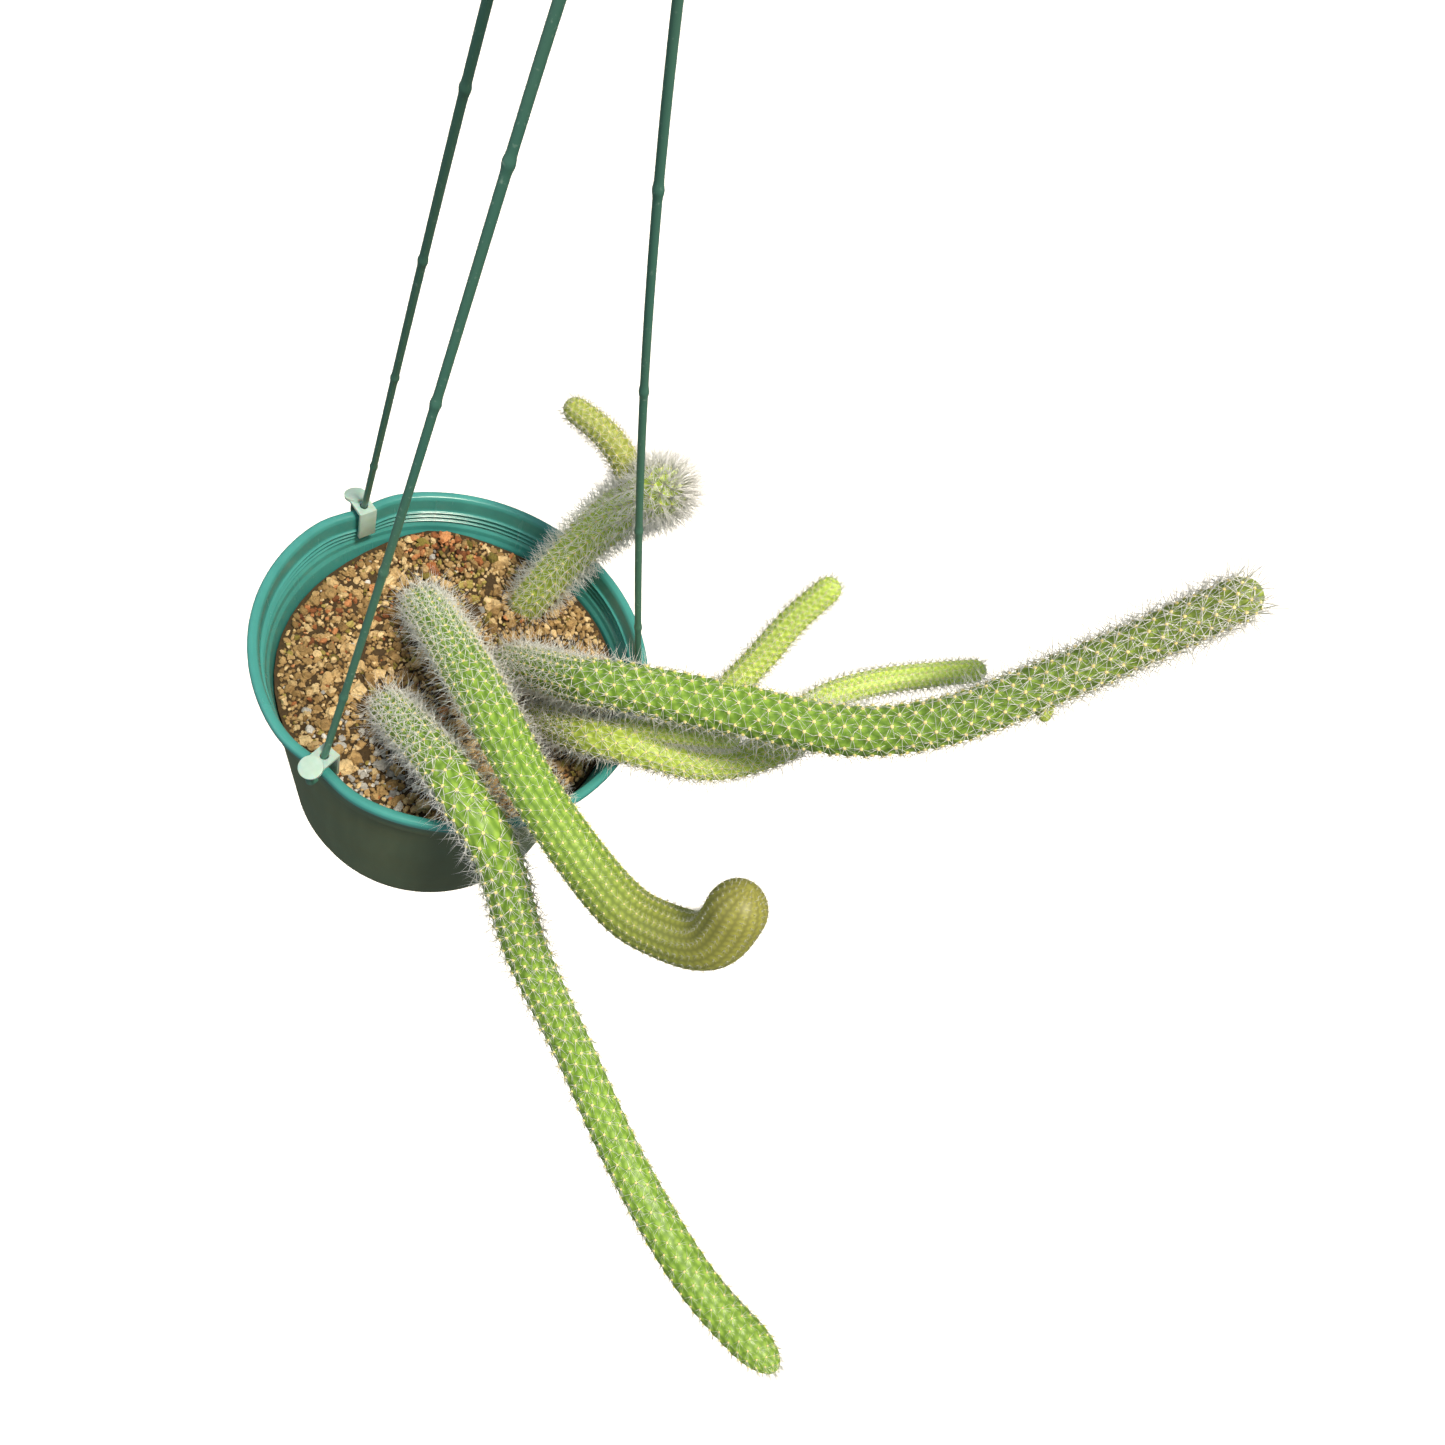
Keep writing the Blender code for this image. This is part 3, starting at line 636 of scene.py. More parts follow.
# %% The stems' paths and habits
STEMS = {
    "trailing": {
        "path": [
            (-16, -20, -42), (-6, -29, -19), (26, -50, 13), (43.3, -59.6, 19.3), (59.7, -64, 8.6),
            (87, -67.4, -46.9), (127.7, -73.6, -99.8), (173.9, -92.4, -127.2),
            (224.6, -115, -130.6), (271, -127, -126),
        ],
        "radii": (7.4, 7.6, 8.2, 8.1, 8.7, 8.6), "ending": 2.2,
        "ribs": 14, "pitch": (5.6, 5.8, 7.6, 8.2, 7.4, 4.5), "wool": (0.72, 0.72, 0.68, 0.5),
        "bumps": (0.4, 0.4, 0.4, 0.35), "groove": 0.4, "sweep": 0.5,
        "spines": (7.5, 6.0, 5.0, 4.6, 4.6, 3.6), "count": (12, 9, 7, 7, 8, 9),
        "youth_and_painted_light": (0, 0, 0, 0, 0, 0.05),
    },
    "upturned": {
        "path": [
            (-33, 26, -43), (-28, 19, -22), (-10, 3, -1), (27.5, -29.8, 30.5), (62.4, -52.1, 38.3),
            (99.9, -65.4, 36.8), (118.8, -67.4, 41.4), (132.5, -65.7, 54.2), (131.4, -56.2, 76.2),
        ],
        "radii": (8.4, 8.4, 8.8, 8.0, 8.8, 9.7),
        "ribs": 16, "pitch": (6.0, 6.0, 5.6, 4.2, 2.8, 2.0),
        "wool": (0.7, 0.7, 0.7, 0.68, 0.62, 0.56, 0.5, 0.44, 0.3, 0.12, 0.04),
        "bumps": (0.4, 0.35, 0.3, 0.25, 0.12, 0.02), "groove": 0.5, "sweep": 0.0,
        "spines": (7.5, 6.2, 5.0, 3.8, 2.2, 1.6), "count": (12, 9, 7, 6, 6, 5),
        "youth_and_painted_light": (0, 0, 0, 0, 0, 0, 0, 0.1, 0.32, 0.46, 0.5),
    },
    "upright": {
        "path": [
            (-1, 47, -41), (3, 48, -22), (11, 55, 12), (20, 58, 41), (30, 58, 64), (39.4, 55.5, 79.7),
        ],
        "radii": (7.4, 7.4, 7.6, 8.6, 9.2),
        "ribs": 13, "pitch": (5.0, 4.9, 4.6, 3.8), "wool": (0.66, 0.66, 0.5),
        "bumps": (0.4, 0.4, 0.3), "groove": 0.28, "sweep": 0.2,
        "spines": (7.4, 7.3, 7.3, 7.6, 8.4), "count": (11, 9, 9, 13, 34),
        # painted light: this stem's lime is partly its young colour and partly painted light, to brighten
        # it
        "youth_and_painted_light": (0.75, 0.85, 0.9, 0.9),
        "shoots": [(1.05, 0.68, [(24, 60, 60), (16.8, 60.4, 70), (5.2, 61, 75.1), (-10.2, 60.8, 76.6)])],
    },
    "reaching": {
        "path": [
            (9, 25, -41), (16, 21, -22), (46, 7, 18), (61.4, 5.8, 32.5), (100.5, 12.8, 51.1),
            (134.5, 18.9, 68.2), (157.5, 28.7, 89.4), (175.6, 44.5, 115.3), (191.6, 60.5, 141.3),
            (203.6, 73.5, 160.3),
        ],
        "radii": (8.0, 8.0, 8.8, 8.2, 7.1, 6.4),
        "ribs": 14, "pitch": (5.0, 5.0, 5.2, 5.4, 5.2, 4.8), "wool": (0.7, 0.72, 0.78, 0.85),
        "bumps": (0.4, 0.45, 0.45, 0.4), "groove": 0.28, "sweep": 0.1,
        "spines": (7.5, 5.8, 4.6, 4.7, 5.8, 6.4), "count": (12, 9, 6, 6, 9, 10),
        "youth_and_painted_light": (0, 0, 0, 0, 0.1, 0.25),
        "shoots": [
            (1.05, 0.92, [(92, 11, 46), (96, 27.5, 61.3), (98.2, 39.1, 75.1), (103, 51.4, 89.6)]),
            (1.0, 1.0, [(116, 15, 56), (124, 36.5, 56), (136.6, 53.2, 58.5), (151.3, 65.6, 63.8),
                        (166, 76, 70)]),
            (0.45, 0.8, [(176, 43, 112), (180, 35, 106)]),
        ],
    },
    "tucked": {
        "path": [
            (31, 12, -41), (37, 8, -25), (57, -3, 3), (70, -2, 11), (84.4, 3.8, 11.5),
            (100.6, 13.5, 8.3), (115, 27, 11), (129, 46, 19),
        ],
        "radii": (6.6, 6.5, 6.3),
        "ribs": 14, "pitch": (4.8, 4.6, 3.8), "wool": (0.55, 0.5),
        "bumps": (0.4, 0.35), "groove": 0.28, "sweep": 0.1,
        # painted light: this stem's lime is partly its young colour and partly painted light, to brighten
        # it
        "spines": (6.4, 5.2, 4.8), "count": (10, 7, 7), "youth_and_painted_light": (0.7, 0.85, 0.85),
        "shoots": [(0.8, 0.9, [(58, -3, 3), (70, 4, 13), (86, 9, 22), (98, 13, 27), (107, 17, 31)])],
    },
}
SHOOT = {
    "radii": (5.0, 4.8, 4.2), "ribs": 12, "pitch": (2.9, 2.8, 2.2), "wool": (0.4, 0.38, 0.3),
    "bumps": (0.25, 0.25, 0.15), "groove": 0.28, "sweep": 0.3,
    "spines": (4.0, 3.8, 3.0), "count": (9, 9, 9),
}
ROUND_END = 1.15
TWIST = math.radians(0.22)

# %% The Stem class
def along(values, share):
    """A habit read at a share of the length, between its evenly spaced values."""
    return np.interp(share, np.linspace(0, 1, len(values)), values)


class Stem:
    """A path with its radius and the lattice of areoles on it; a shoot also has a host stem."""

    def __init__(self, points, habit, thick=1.0, host=None):
        self.path = Path(smooth_points(points))
        self.host = host
        self.habit = dict(habit, radii=[radius * thick for radius in habit["radii"]])
        self.ribs = habit["ribs"]
        far = np.arange(0.0, self.path.length, 0.1)
        step = np.hypot(0.1, np.gradient(self.radius(far)))
        pace = step / along(habit["pitch"], far / self.path.length)
        self.table_far = far
        self.table_turn = np.cumsum(pace) - pace[0]

    def radius(self, far):
        """The radius at any distances, closing in a round end."""
        cap = self.habit["radii"][-1] * self.habit.get("ending", ROUND_END)
        left = np.clip((self.path.length - far) / cap, 0, 1)
        return along(self.habit["radii"], far / self.path.length) * np.sqrt(
            np.clip(1 - (1 - left) ** 2, 0, None))

    def far_of(self, turn):
        """The distance along the stem at which the lattice has made so many steps."""
        return np.interp(turn, self.table_turn, self.table_far)

    def rows(self):
        return float(self.table_turn[-1])

# %% Grow the stems
def grow(name):
    """A stem and its side shoots, as Stem objects."""
    spec = STEMS[name]
    main = Stem(spec["path"], spec)
    return [main] + [Stem(points, dict(SHOOT, youth_and_painted_light=(youth - 0.1, youth)), thick, main)
                     for thick, youth, points in spec.get("shoots", [])]


families = {name: grow(name) for name in STEMS}
for name, family in families.items():
    print(f"{name}: {family[0].path.length:.0f} mm long, {family[0].rows():.0f} rows of tubercles")

# %% [markdown]
# ## The skin: a waxy cuticle over tubercles
#
# The mesh of the skin follows the lattice exactly: four points for each rib and five rows for each
# step, so a point always lands on top of every tubercle. The height of the relief is the product of
# two waves, one round the stem and one along it. It is highest at each areole and lowest between
# four of them. Two numbers are stored with each point for the material: how high it lies on its
# tubercle, which sets the painted shade of the grooves, and how young the skin is there, which on
# the upright and the tucked stem is partly painted light.

# %% Relief
def relief(stem, rib, turn):
    """From -1 in the grooves to 1 on top of a tubercle."""
    lattice = np.cos(math.pi * rib) * np.cos(2 * math.pi * turn)
    groove = stem.habit["groove"]
    return (1 - groove) * lattice + groove * np.cos(2 * math.pi * rib)


def relief_height(stem, far):
    """How high the tubercles stand: less towards the rounding of the tip."""
    share = far / stem.path.length
    closing = stem.radius(far) / along(stem.habit["radii"], share)
    return along(stem.habit["bumps"], share) * np.clip(closing, 0.0, 1.0) ** 1.5


def surface(stem, rib, far, turn):
    """Points on the skin, with the directions out of it and ahead along it."""
    centre, ahead, side, up = stem.path.at(far)
    angle = 2 * math.pi * rib / stem.ribs + TWIST * far
    out = side * np.cos(angle)[..., None] + up * np.sin(angle)[..., None]
    height = relief_height(stem, far) * relief(stem, rib, turn)
    slope = (stem.radius(far + 0.3) - stem.radius(far - 0.3)) / 0.6
    normal = unit(out - ahead * np.clip(slope, -4, 4)[..., None])
    return centre + out * stem.radius(far)[..., None] + normal * height[..., None], normal, ahead

# %% Skin mesh
ROWS_PER_STEP = 5
POINTS_PER_RIB = 4
LAST_ROW = 0.15


def skin_part(stem):
    """The points, faces and stored numbers of one stem or shoot."""
    columns = stem.ribs * POINTS_PER_RIB
    turns = np.arange(0, stem.rows() - LAST_ROW, 1.0 / ROWS_PER_STEP)
    rib = np.tile(np.arange(columns) / POINTS_PER_RIB, len(turns))
    turn = np.repeat(turns, columns)
    far = stem.far_of(turn)
    points, _, _ = surface(stem, rib, far, turn)
    tip = stem.path.at(np.array([stem.path.length]))[0]
    faces = tube_faces(len(turns), columns, cap_end=False)
    last = len(points)
    first = last - columns
    faces += [(first + i, first + (i + 1) % columns, last) for i in range(columns)]
    crest = np.append(0.5 + 0.5 * relief(stem, rib, turn), 1.0)
    youth_and_painted_light = along(stem.habit["youth_and_painted_light"], np.append(far, stem.path.length) / stem.path.length)
    return np.vstack([points, tip]), faces, crest, youth_and_painted_light


def skin_mesh(family):
    points, faces, crest, youth_and_painted_light = [], [], [], []
    for stem in family:
        part, part_faces, part_crest, part_youth_and_light = skin_part(stem)
        faces += shifted(part_faces, len(points))
        points += list(part)
        crest += list(part_crest)
        youth_and_painted_light += list(part_youth_and_light)
    return new_mesh("skin", points, faces, {"crest": crest, "youth_and_painted_light": youth_and_painted_light})

# %% [markdown]
# Cactus skin is a waxy cuticle over wet green flesh. Light goes a little way in and comes back
# yellower, which a small share of subsurface scattering gives. The wax makes a soft sheen: a
# roughness of about 0.45 at an index of 1.42.
#
# Grooves are painted a deep green and tubercles a bright one: the dark grooves are painted shade.
# The thick growing tip is an olive yellow and young shoots are lime: the stored number runs from
# grown, 0, through olive, 0.5, to lime, 1. On the upright and the tucked stem this lime is partly
# their young colour and partly painted light, which makes them brighter. A noise as wide as a few
# tubercles keeps the stem from looking painted.

# %% Waxy skin
cactus_skin, shader, place, add = new_finish(
    "waxy_cactus_skin", IOR=1.42, Subsurface_Weight=0.2, Subsurface_Scale=0.004,
    Subsurface_Radius=(0.8, 1.0, 0.25))
crest, youth_and_painted_light = (add("Attribute", output="Fac", attribute_name=key) for key in ("crest", "youth_and_painted_light"))
patch = add("TexNoise", {"Vector": place, "Scale": per_mm(14), "Detail": 4.0})
cells = add("TexNoise", {"Vector": place, "Scale": per_mm(0.8), "Detail": 2.0})
height = add("MapRange", {"Value": crest, "From Min": 0.1, "From Max": 0.75},
             interpolation_type="SMOOTHSTEP")
# painted shade: the grooves, low on each tubercle, get a darker green in every tone below
groove = add("Mix", {FAC: patch, A: "#4d7322", B: "#5f882a"}, **RGBA)
flank = add("Mix", {FAC: patch, A: "#7fa53a", B: "#9dbf4d"}, **RGBA)
grown = add("Mix", {FAC: height, A: groove, B: flank}, **RGBA)
lime = add("Mix", {FAC: height, A: "#90b226", B: "#cbe36c"}, **RGBA)
olive = add("Mix", {FAC: height, A: "#6f6e36", B: "#939243"}, **RGBA)
to_olive = add("MapRange", {"Value": youth_and_painted_light, "From Max": 0.5})
to_lime = add("MapRange", {"Value": youth_and_painted_light, "From Min": 0.5})
aged = add("Mix", {FAC: to_olive, A: grown, B: olive}, **RGBA)
skin = add("Mix", {FAC: to_lime, A: aged, B: lime}, **RGBA)
rough = add("MapRange", {"Value": patch, "To Min": 0.38, "To Max": 0.54})
bump = add("Bump", {"Height": cells, "Strength": 0.2, "Distance": 0.2 * MM})
set_inputs(shader, {"Base Color": skin, "Roughness": rough, "Normal": bump})
for name, family in families.items():
    add_piece(f"skin_{name}", skin_mesh(family), cactus_skin, [f"stem_{name}"])

# %% [markdown]
# ## The areoles: dots of cream wool
#
# Each areole is a felt dot a little over a millimetre across. A texture could draw it, but a dome
# that really stands proud also shades itself and shows along the stem's outline. So each is a low
# dome of six sides. Near a tip the ribs run together, so areoles that would touch are left out.

# %% Height of the grit
# It is needed here already, because an areole under the grit is left out too.
SOIL_Z = -25.0
SOIL_BUMP = 1.3
SOIL_BACK_RISE = 6.5
HEAP_PLACE = (-42.0, 44.0)
HEAP_RISE = 4.5
HEAP_WIDTH = 17.0


def soil_height(x, y):
    """The height of the grit, uneven by a few waves, with a rise at the back and one heap."""
    waves = np.sin(x * 0.21 + 1.0) * np.cos(y * 0.17) + np.sin(x * 0.43 - y * 0.37 + 2.0)
    waves = waves + 0.8 * np.cos(x * 0.61 + y * 0.53)
    edge = 1 - blend(52.0, 66.0, np.hypot(x, y))
    heap = np.exp(-(np.hypot(x - HEAP_PLACE[0], y - HEAP_PLACE[1]) / HEAP_WIDTH) ** 2)
    rise = SOIL_BACK_RISE * blend(0.0, 60.0, y) + HEAP_RISE * heap
    return SOIL_Z + 0.5 * SOIL_BUMP * waves * edge + rise

# %% Areole places
SKIP_GAP = 1.5
LAST_AREOLE = 0.2
INSIDE_POT_R = 67.0


def areoles(stem):
    """Rib, turn and distance of every areole that stands free."""
    found = [(rib, turn) for rib in range(stem.ribs)
             for turn in np.arange(0.5 * (rib % 2), stem.rows() - LAST_AREOLE, 1.0)]
    rib, turn = np.array(found, float).T
    far = stem.far_of(turn)
    room = 2 * math.pi * stem.radius(far) / stem.ribs
    keep = (room > SKIP_GAP) | ((room > SKIP_GAP / 2) & (rib % 2 == 0)) | (rib % 4 == 0)
    keep &= (room > SKIP_GAP / 4)
    points = surface(stem, rib, far, turn)[0]
    inside_pot = np.hypot(points[:, 0], points[:, 1]) < INSIDE_POT_R
    keep &= ~(inside_pot & (points[:, 2] < soil_height(points[:, 0], points[:, 1]) - 1))
    if stem.host:
        gaps = np.linalg.norm(points[:, None] - stem.host.path.points[None], axis=2)
        keep &= np.min(gaps, axis=1) > max(stem.host.habit["radii"])
    return rib[keep], turn[keep], far[keep]

# %% Wool domes
LEAST_WOOL = 0.2
DOME_SIDES = 6


def dome_faces(sides):
    """The faces of a low dome: its points are a foot ring, a shoulder ring and a top."""
    faces = []
    for i in range(sides):
        k = (i + 1) % sides
        faces += [(i, k, sides + k, sides + i), (sides + i, sides + k, 2 * sides)]
    return faces + [tuple(range(sides - 1, -1, -1))]


def wool_mesh(family):
    points, faces, youth_and_painted_light = [], [], []
    cosine, sine = circle(DOME_SIDES)
    dome = dome_faces(DOME_SIDES)
    for stem in family:
        rib, turn, far = areoles(stem)
        place, normal, ahead = surface(stem, rib, far, turn)
        across = unit(np.cross(normal, ahead))
        wide = along(stem.habit["wool"], far / stem.path.length)
        wide = wide * np.clip(stem.radius(far) / stem.habit["radii"][0], 0.45, 1.0)
        for p, n, c, w, share in zip(place, normal, across, wide, far / stem.path.length):
            if w < LEAST_WOOL:
                continue
            faces += shifted(dome, len(points))
            ring = cosine[:, None] * c + sine[:, None] * np.cross(n, c)
            points += list(p + ring * w - n * 0.3)
            points += list(p + ring * w * 0.8 + n * w * 0.45)
            points.append(p + n * w * 0.75)
            youth_and_painted_light += [float(along(stem.habit["youth_and_painted_light"], share))] * (2 * DOME_SIDES + 1)
    return new_mesh("wool", points, faces, {"youth_and_painted_light": youth_and_painted_light})

# %% Cream felt
areole_wool, shader, place, add = new_finish("areole_wool", Roughness=0.95, Sheen_Weight=0.4)
youth_and_painted_light = add("Attribute", output="Fac", attribute_name="youth_and_painted_light")
tuft = add("TexNoise", {"Vector": place, "Scale": per_mm(0.5), "Detail": 3.0})
felt = add("Mix", {FAC: youth_and_painted_light, A: "#fdeeaa", B: "#f2ecaa"}, **RGBA)
shade = add("Mix", {FAC: tuft, A: "#e6d07c", B: felt}, **RGBA)
bump = add("Bump", {"Height": tuft, "Strength": 0.5, "Distance": 0.2 * MM})
set_inputs(shader, {"Base Color": shade, "Normal": bump})
for name, family in families.items():
    add_piece(f"wool_{name}", wool_mesh(family), areole_wool)

# %% [markdown]
# ## The spines: thousands of fine bristles
#
# Every areole carries about ten white bristles: stout ones lie flat like a star, and finer ones
# stand up between them. Where the spines are very short or very long, they're all fine hairs.
# Particle hair would be the usual way, but hair isn't a mesh and would be lost when the model
# leaves Blender. So each bristle is a real three-sided needle: straight ones have one piece, and
# long ones have two, with a bend between them.
#
# Real bristles are about a tenth of a millimetre thick. These are drawn two to three times as
# thick, because thinner ones would vanish in the picture.

# %% Bristles
STAR_R = 0.17
HAIR_R = 0.1
HAIRY = (4.5, 7.2)
HAIR_LEAN, STAR_LEAN = (0.4, 1.1), (1.0, 1.35)
HAIR_LENGTH, STAR_LENGTH = 1.55, 0.85
LENGTH_SPREAD = (0.75, 1.15)
BOW = 0.05
rng = np.random.default_rng(21)


def bristles(stem):
    """Roots, middles, tips, lengths and radii of all the bristles of one stem."""
    rib, turn, far = areoles(stem)
    share = far / stem.path.length
    count = np.round(along(stem.habit["count"], share)).astype(int)
    owner = np.repeat(np.arange(len(far)), count)
    place, normal, ahead = surface(stem, rib, far, turn)
    across = np.cross(normal, ahead)
    total = len(owner)
    order = np.arange(total) - np.repeat(np.cumsum(count) - count, count)
    spin = 2 * math.pi * order / count[owner] + rng.uniform(-0.4, 0.4, total)
    size = along(stem.habit["spines"], share)[owner]
    downy = (size < HAIRY[0]) | (size > HAIRY[1])
    hair = downy | (order % 3 == 2)
    lean = np.where(hair, rng.uniform(*HAIR_LEAN, total), rng.uniform(*STAR_LEAN, total))
    flat = ahead[owner] * (np.cos(spin) + stem.habit["sweep"])[:, None]
    flat = unit(flat + across[owner] * np.sin(spin)[:, None])
    aim = normal[owner] * np.cos(lean)[:, None] + flat * np.sin(lean)[:, None]
    size = size * rng.uniform(*LENGTH_SPREAD, total) * np.where(
        downy, 1.0, np.where(hair, HAIR_LENGTH, STAR_LENGTH))
    thick = np.where(hair, HAIR_R, STAR_R) * np.clip(size / HAIRY[0], 0.5, 1.0)
    wool = along(stem.habit["wool"], share)[owner]
    root = place[owner] + flat * (0.6 * wool)[:, None] + normal[owner] * 0.1
    bow = unit(flat + rng.normal(0, 0.3, (total, 3))) * (size * BOW)[:, None]
    middle = root + aim * (size * 0.5)[:, None] + bow
    tip = root + aim * size[:, None]
    return root, middle, tip, size, thick[:, None, None]

# %% Spine meshes
BENT_FROM = 5.2
STRAIGHT_FACES = [(2, 1, 0), (0, 1, 3), (1, 2, 3), (2, 0, 3)]
BENT_FACES = [(2, 1, 0), (0, 1, 4, 3), (3, 4, 6), (1, 2, 5, 4), (4, 5, 6), (2, 0, 3, 5), (5, 3, 6)]


def spine_mesh(family):
    points, faces = [], []
    for stem in family:
        root, middle, tip, size, thick = bristles(stem)
        aim = unit(tip - root)
        aside = np.where(np.abs(aim[:, 2:]) < 0.9, (0.0, 0.0, 1.0), (1.0, 0.0, 0.0))
        across = unit(np.cross(aim, aside))
        ring = rings(across, np.cross(aim, across), 3)
        foot = root[:, None] + ring * thick
        belt = middle[:, None] + ring * thick * 0.8
        for k in range(len(root)):
            bent = size[k] >= BENT_FROM
            faces += shifted(BENT_FACES if bent else STRAIGHT_FACES, len(points))
            points += [*foot[k], *belt[k], tip[k]] if bent else [*foot[k], tip[k]]
    return new_mesh("spines", points, faces)

# %% Bristle finish
ivory_bristle, shader, place, add = new_finish(
    "ivory_bristle", IOR=1.5, Roughness=0.4, Sheen_Weight=0.8, Subsurface_Weight=1.0,
    Subsurface_Scale=0.001, Subsurface_Radius=(1.0, 1.0, 1.0))
tint = add("TexNoise", {"Vector": place, "Scale": per_mm(2.0), "Detail": 1.0})
ivory = add("Mix", {FAC: tint, A: "#ffffff", B: "#f4f0e2"}, **RGBA)
set_inputs(shader, {"Base Color": ivory})
for name, family in families.items():
    add_piece(f"spines_{name}", spine_mesh(family), ivory_bristle)

# %% [markdown]
# ## The grit: baked clay, pumice, bark and moss
#
# The mix is loose and dry: tan crumbs of baked clay one to four millimetres across, reddish bark
# behind and on the left, moss in the middle and grey pumice at the front. The solid soil stays as
# the ground under them. Its own material is rough and painted nearly black, as painted shade in
# the gaps between the crumbs, over a brown earth.
#
# A crumb breaks along flat faces. So each one starts as a ball of few faces and is cut by planes in
# random directions, which leaves it angular. Three sizes lie in three layers. Each layer is a loose
# grid with every place shifted at random: it fills the pot evenly and needs no test for overlaps.

# %% Ground under the grains
ground_with_gap_shade, shader, place, add = new_finish("ground_with_gap_shade", Roughness=0.98)
crumb = add("TexNoise", {"Vector": place, "Scale": per_mm(1.6), "Detail": 8.0, "Roughness": 0.7})
# painted shade: the gaps between the crumbs go nearly black, over a brown earth
earth_and_gap_shade = add("Mix", {FAC: crumb, A: "#120c07", B: "#5c4829"}, **RGBA)
bump = add("Bump", {"Height": crumb, "Strength": 0.9, "Distance": 1.0 * MM})
set_inputs(shader, {"Base Color": earth_and_gap_shade, "Normal": bump})

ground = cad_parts["soil"]
ground.data.materials.clear()
ground.data.materials.append(ground_with_gap_shade)

# %% Grain finishes
def make_grain(name, dark, middle, light, pore, strength):
    """A dry mineral or crumb: its tone comes from a number stored with each grain."""
    finish, shader, place, add = new_finish(name, Roughness=0.95)
    tone = add("Attribute", output="Fac", attribute_name="tone")
    pores = add("TexNoise", {"Vector": place, "Scale": per_mm(pore), "Detail": 5.0, "Roughness": 0.65})
    low = add("MapRange", {"Value": tone, "From Max": 0.5})
    high = add("MapRange", {"Value": tone, "From Min": 0.5})
    first = add("Mix", {FAC: low, A: dark, B: middle}, **RGBA)
    second = add("Mix", {FAC: high, A: first, B: light}, **RGBA)
    pitted = add("MapRange", {"Value": pores, "From Min": 0.3, "From Max": 0.5, "To Min": 0.5})
    mixed = add("Mix", {FAC: 0.8, A: second, B: pitted}, blend_type="MULTIPLY", **RGBA)
    bump = add("Bump", {"Height": pores, "Strength": strength, "Distance": 0.6 * MM})
    set_inputs(shader, {"Base Color": mixed, "Normal": bump})
    return finish


grain_finishes = {
    "clay": make_grain("baked_clay", "#7c6138", "#ae8f5e", "#dfc594", 1.1, 1.0),
    "pumice": make_grain("pumice", "#8e8e8e", "#b4b2ac", "#e0ded8", 0.5, 0.9),
    "bark": make_grain("bark_crumb", "#5a3018", "#a4683c", "#cf9260", 1.0, 0.9),
    "moss": make_grain("dry_moss", "#6a6028", "#94853e", "#bcab60", 0.4, 1.0),
}

# %% Shapes and kinds of crumbs
def ball(levels):
    """The points and faces of a ball of triangles."""
    build = bmesh.new()
    bmesh.ops.create_icosphere(build, subdivisions=levels, radius=1.0)
    points = np.array([v.co for v in build.verts])
    faces = np.array([[v.index for v in f.verts] for f in build.faces])
    build.free()
    return points, faces


def broken(points, planes):
    """The ball's points pulled in to where random planes would cut it, then stretched."""
    facing = unit(rng.normal(size=(planes, 3)))
    depth = rng.uniform(0.55, 0.95, planes)
    reach = np.min(depth / np.maximum(points @ facing.T, 0.01), axis=1)
    reach = np.minimum(reach, 1.15) * rng.uniform(0.8, 1.16, len(points))
    shape = points * reach[:, None]
    return shape * rng.uniform(0.75, 1.15, 3)


# Each kind has a share everywhere and a list of spots: how much more, at which x and y, how wide.
KIND_SPOTS = {
    "pumice": (0.01, [(1.1, 2, -52, 260)]),
    "moss": (0.05, [(0.4, -22, 22, 500)]),
    "bark": (0.02, [(0.4, -58, -5, 300), (1.6, -40, 47, 90)]),
    "clay": (0.8, []),
}


def kind_at(x, y):
    """Which crumb lies where: each kind has a share everywhere, and more of it round its spots."""
    shares = []
    for share, spots in KIND_SPOTS.values():
        for more, spot_x, spot_y, spread in spots:
            share += more * math.exp(-((x - spot_x) ** 2 + (y - spot_y) ** 2) / spread)
        shares.append(share)
    return rng.choice(list(KIND_SPOTS), p=np.array(shares) / np.sum(shares))

# %% Scatter the crumbs
SOIL_EDGE_R = 65.8
GRID_REACH = 66
NEAR_SOIL = 60.0
LAYERS = [
    # spacing, share of places filled, least and most size, lift, ball levels, planes
    (1.6, 1.0, 0.7, 1.1, 0.2, 1, 7),
    (3.0, 0.75, 1.1, 1.8, 0.4, 2, 9),
    (5.6, 0.45, 2.0, 3.0, 0.3, 3, 12),
]


def stems_near_soil():
    """Points along the stems near the soil, with their radii, to keep crumbs clear."""
    rows = []
    for family in families.values():
        stem = family[0]
        far = np.arange(0, min(NEAR_SOIL, stem.path.length), 1.5)
        rows += [(*p, r) for p, r in zip(stem.path.at(far)[0], stem.radius(far))]
    return np.array(rows)


def scatter(spacing, share, low, high, lift, levels, planes):
    """Lays one layer of crumbs on a shifted grid; a share of the places is filled."""
    points, faces = ball(levels)
    stems = stems_near_soil()
    grid = np.arange(-GRID_REACH, GRID_REACH, spacing)
    for x0 in grid:
        for y0 in grid:
            x, y = (x0, y0) + rng.uniform(-0.5, 0.5, 2) * spacing
            size = rng.uniform(low, high)
            if rng.random() > share or math.hypot(x, y) > SOIL_EDGE_R - size:
                continue
            place = np.array([x, y, float(soil_height(x, y)) + lift * size])
            if np.min(np.linalg.norm(stems[:, :3] - place, axis=1) - stems[:, 3]) < 0.5 * size:
                continue
            heap = heaps[kind_at(x, y)]
            heap["faces"].append(faces + heap["count"])
            heap["points"].append(place + broken(points, planes) * size)
            heap["tone"].append(np.full(len(points), rng.random()))
            heap["count"] += len(points)


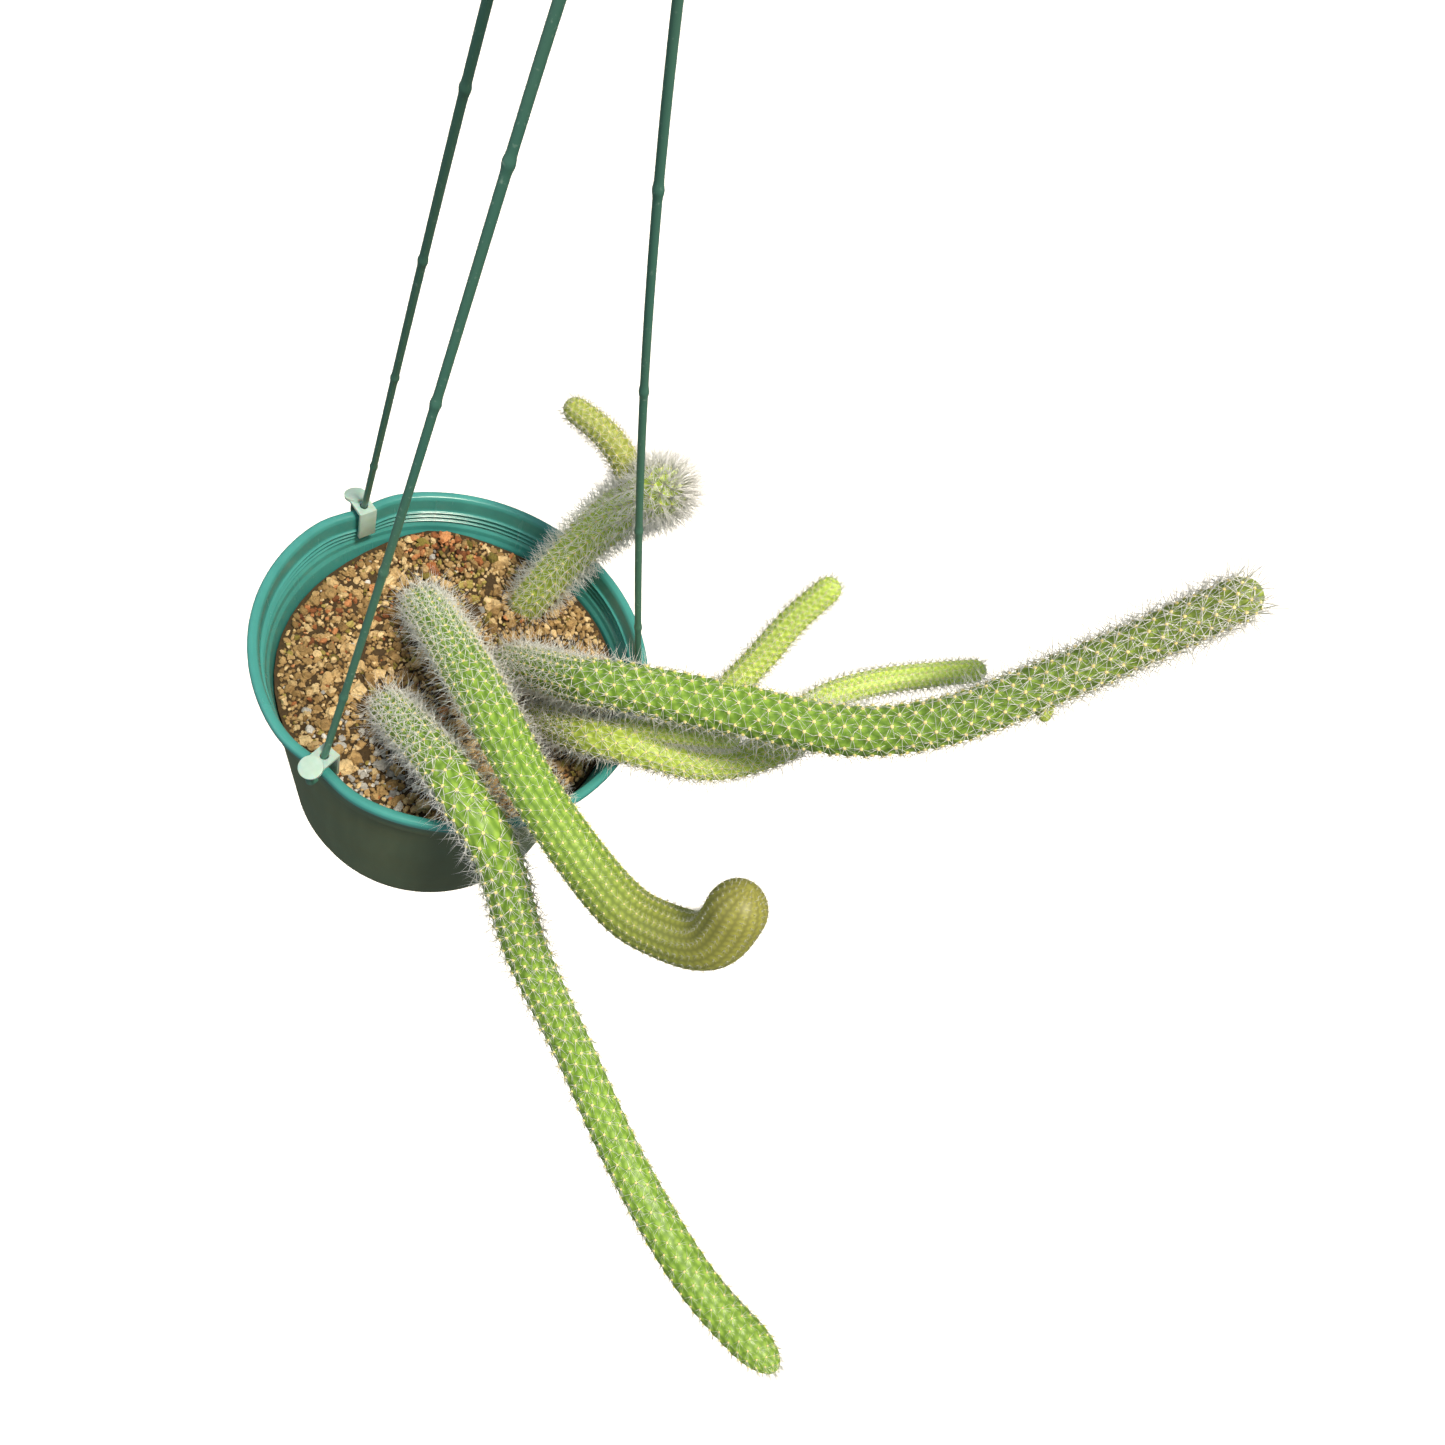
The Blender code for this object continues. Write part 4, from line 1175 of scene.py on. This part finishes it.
heaps = {kind: {"points": [], "faces": [], "tone": [], "count": 0} for kind in grain_finishes}
for layer in LAYERS:
    scatter(*layer)
print(sum(len(heap["tone"]) for heap in heaps.values()), "crumbs in the pot")
for kind, heap in heaps.items():
    mesh = new_mesh(kind, np.vstack(heap["points"]), np.vstack(heap["faces"]).tolist(),
                    {"tone": np.concatenate(heap["tone"])}, sharp=28)
    add_piece(f"grains_{kind}", mesh, grain_finishes[kind])

# %% [markdown]
# ## Floor, light and camera
#
# A plain pale floor lies well below the hanging pot. A sun from nearly overhead, a little to the
# right, gives the bright upper sides and soft shadows. A large lamp on the left fills the shade
# and a pale sky lights the rest. The floor throws no light back up and isn't mirrored, as if it
# were far away, so that the undersides stay darker and the stems look round.
#
# The camera stands a little above the rim and looks down into the pot, as the photograph does. Its
# frame is shifted slightly, because the plant isn't in the middle of its view.

# %% Floor
FLOOR_BELOW = -3.0
FLOOR_HALF = 60.0

pale_floor, shader, place, add = new_finish("pale_floor", Roughness=0.9)
cloud = add("TexNoise", {"Vector": place, "Scale": per_mm(400), "Detail": 2.0})
pale = add("Mix", {FAC: cloud, A: "#f4f3f0", B: "#fbfaf8"}, **RGBA)
set_inputs(shader, {"Base Color": pale})
mesh = bpy.data.meshes.new("floor")
corners = [(x * FLOOR_HALF, y * FLOOR_HALF, FLOOR_BELOW) for x, y in ((-1, -1), (1, -1), (1, 1), (-1, 1))]
mesh.from_pydata(corners, [], [(0, 1, 2, 3)])
mesh.materials.append(pale_floor)
floor = put_in_scene("floor", mesh)
floor.visible_diffuse = False
floor.visible_glossy = False

# %% Lights
def add_lamp(kind, name, way, power, tint):
    """A lamp that shines on the pot from one direction."""
    lamp = bpy.data.lights.new(name, kind)
    lamp.energy = power
    lamp.color = colour(tint)[:3]
    holder = put_in_scene(name, lamp)
    holder.location = MIDDLE + Vector(way)
    holder.rotation_euler = Vector(way).to_track_quat("Z", "Y").to_euler()
    return lamp


MIDDLE = Vector((0.08, -0.02, -0.35))
add_lamp("SUN", "key", (0.34, -0.16, 0.93), 4.6, "#fff4e2").angle = math.radians(10)
fill = add_lamp("AREA", "fill", (-1.3, -1.2, 1.0), 7, "#eef4ff")
fill.shape = "DISK"
fill.size = 1.6

# %% Sky
SKY_ABOVE, SKY_BELOW = 0.48, 0.16

world = bpy.data.worlds.new("sky")
world.use_nodes = True
add = partial(add_node, world.node_tree)
way = add("TexCoord", output="Generated")
height = add("SeparateXYZ", {"Vector": way}, "Z")
strength = add("MapRange", {"Value": height, "From Min": -0.6, "From Max": 0.1, "To Min": SKY_BELOW,
                            "To Max": SKY_ABOVE}, interpolation_type="SMOOTHSTEP")
set_inputs(world.node_tree.nodes["Background"], {"Color": "#f4f7fb", "Strength": strength})
bpy.context.scene.world = world
bpy.context.scene.view_settings.view_transform = "Standard"

# %% Camera
PHOTO_SIDE = 1445
FOCAL_PIXELS = 1064
VIEW_CENTRE = (675, 772)
CAMERA_PLACE = Vector((0.0942, -0.2059, -0.0124))
CAMERA_RIGHT = Vector((0.824, 0.482, 0.2977))
CAMERA_BACK = Vector((0.0, -0.5255, 0.8508))
SENSOR = 36.0

camera = bpy.data.cameras.new("camera")
camera.sensor_width = SENSOR
camera.lens = SENSOR * FOCAL_PIXELS / PHOTO_SIDE
camera.shift_x = (PHOTO_SIDE / 2 - VIEW_CENTRE[0]) / PHOTO_SIDE
camera.shift_y = (VIEW_CENTRE[1] - PHOTO_SIDE / 2) / PHOTO_SIDE
camera.clip_start = 0.01
stand = put_in_scene("camera", camera)
right = CAMERA_RIGHT.normalized()
back = (CAMERA_BACK - right * CAMERA_BACK.dot(right)).normalized()
up = back.cross(right)
turn = Matrix((right, up, back)).transposed()
stand.matrix_world = Matrix.Translation(CAMERA_PLACE) @ turn.to_4x4()
bpy.context.scene.camera = stand
print(f"lens {camera.lens:.1f} mm, shift {camera.shift_x:.3f}, {camera.shift_y:.3f}")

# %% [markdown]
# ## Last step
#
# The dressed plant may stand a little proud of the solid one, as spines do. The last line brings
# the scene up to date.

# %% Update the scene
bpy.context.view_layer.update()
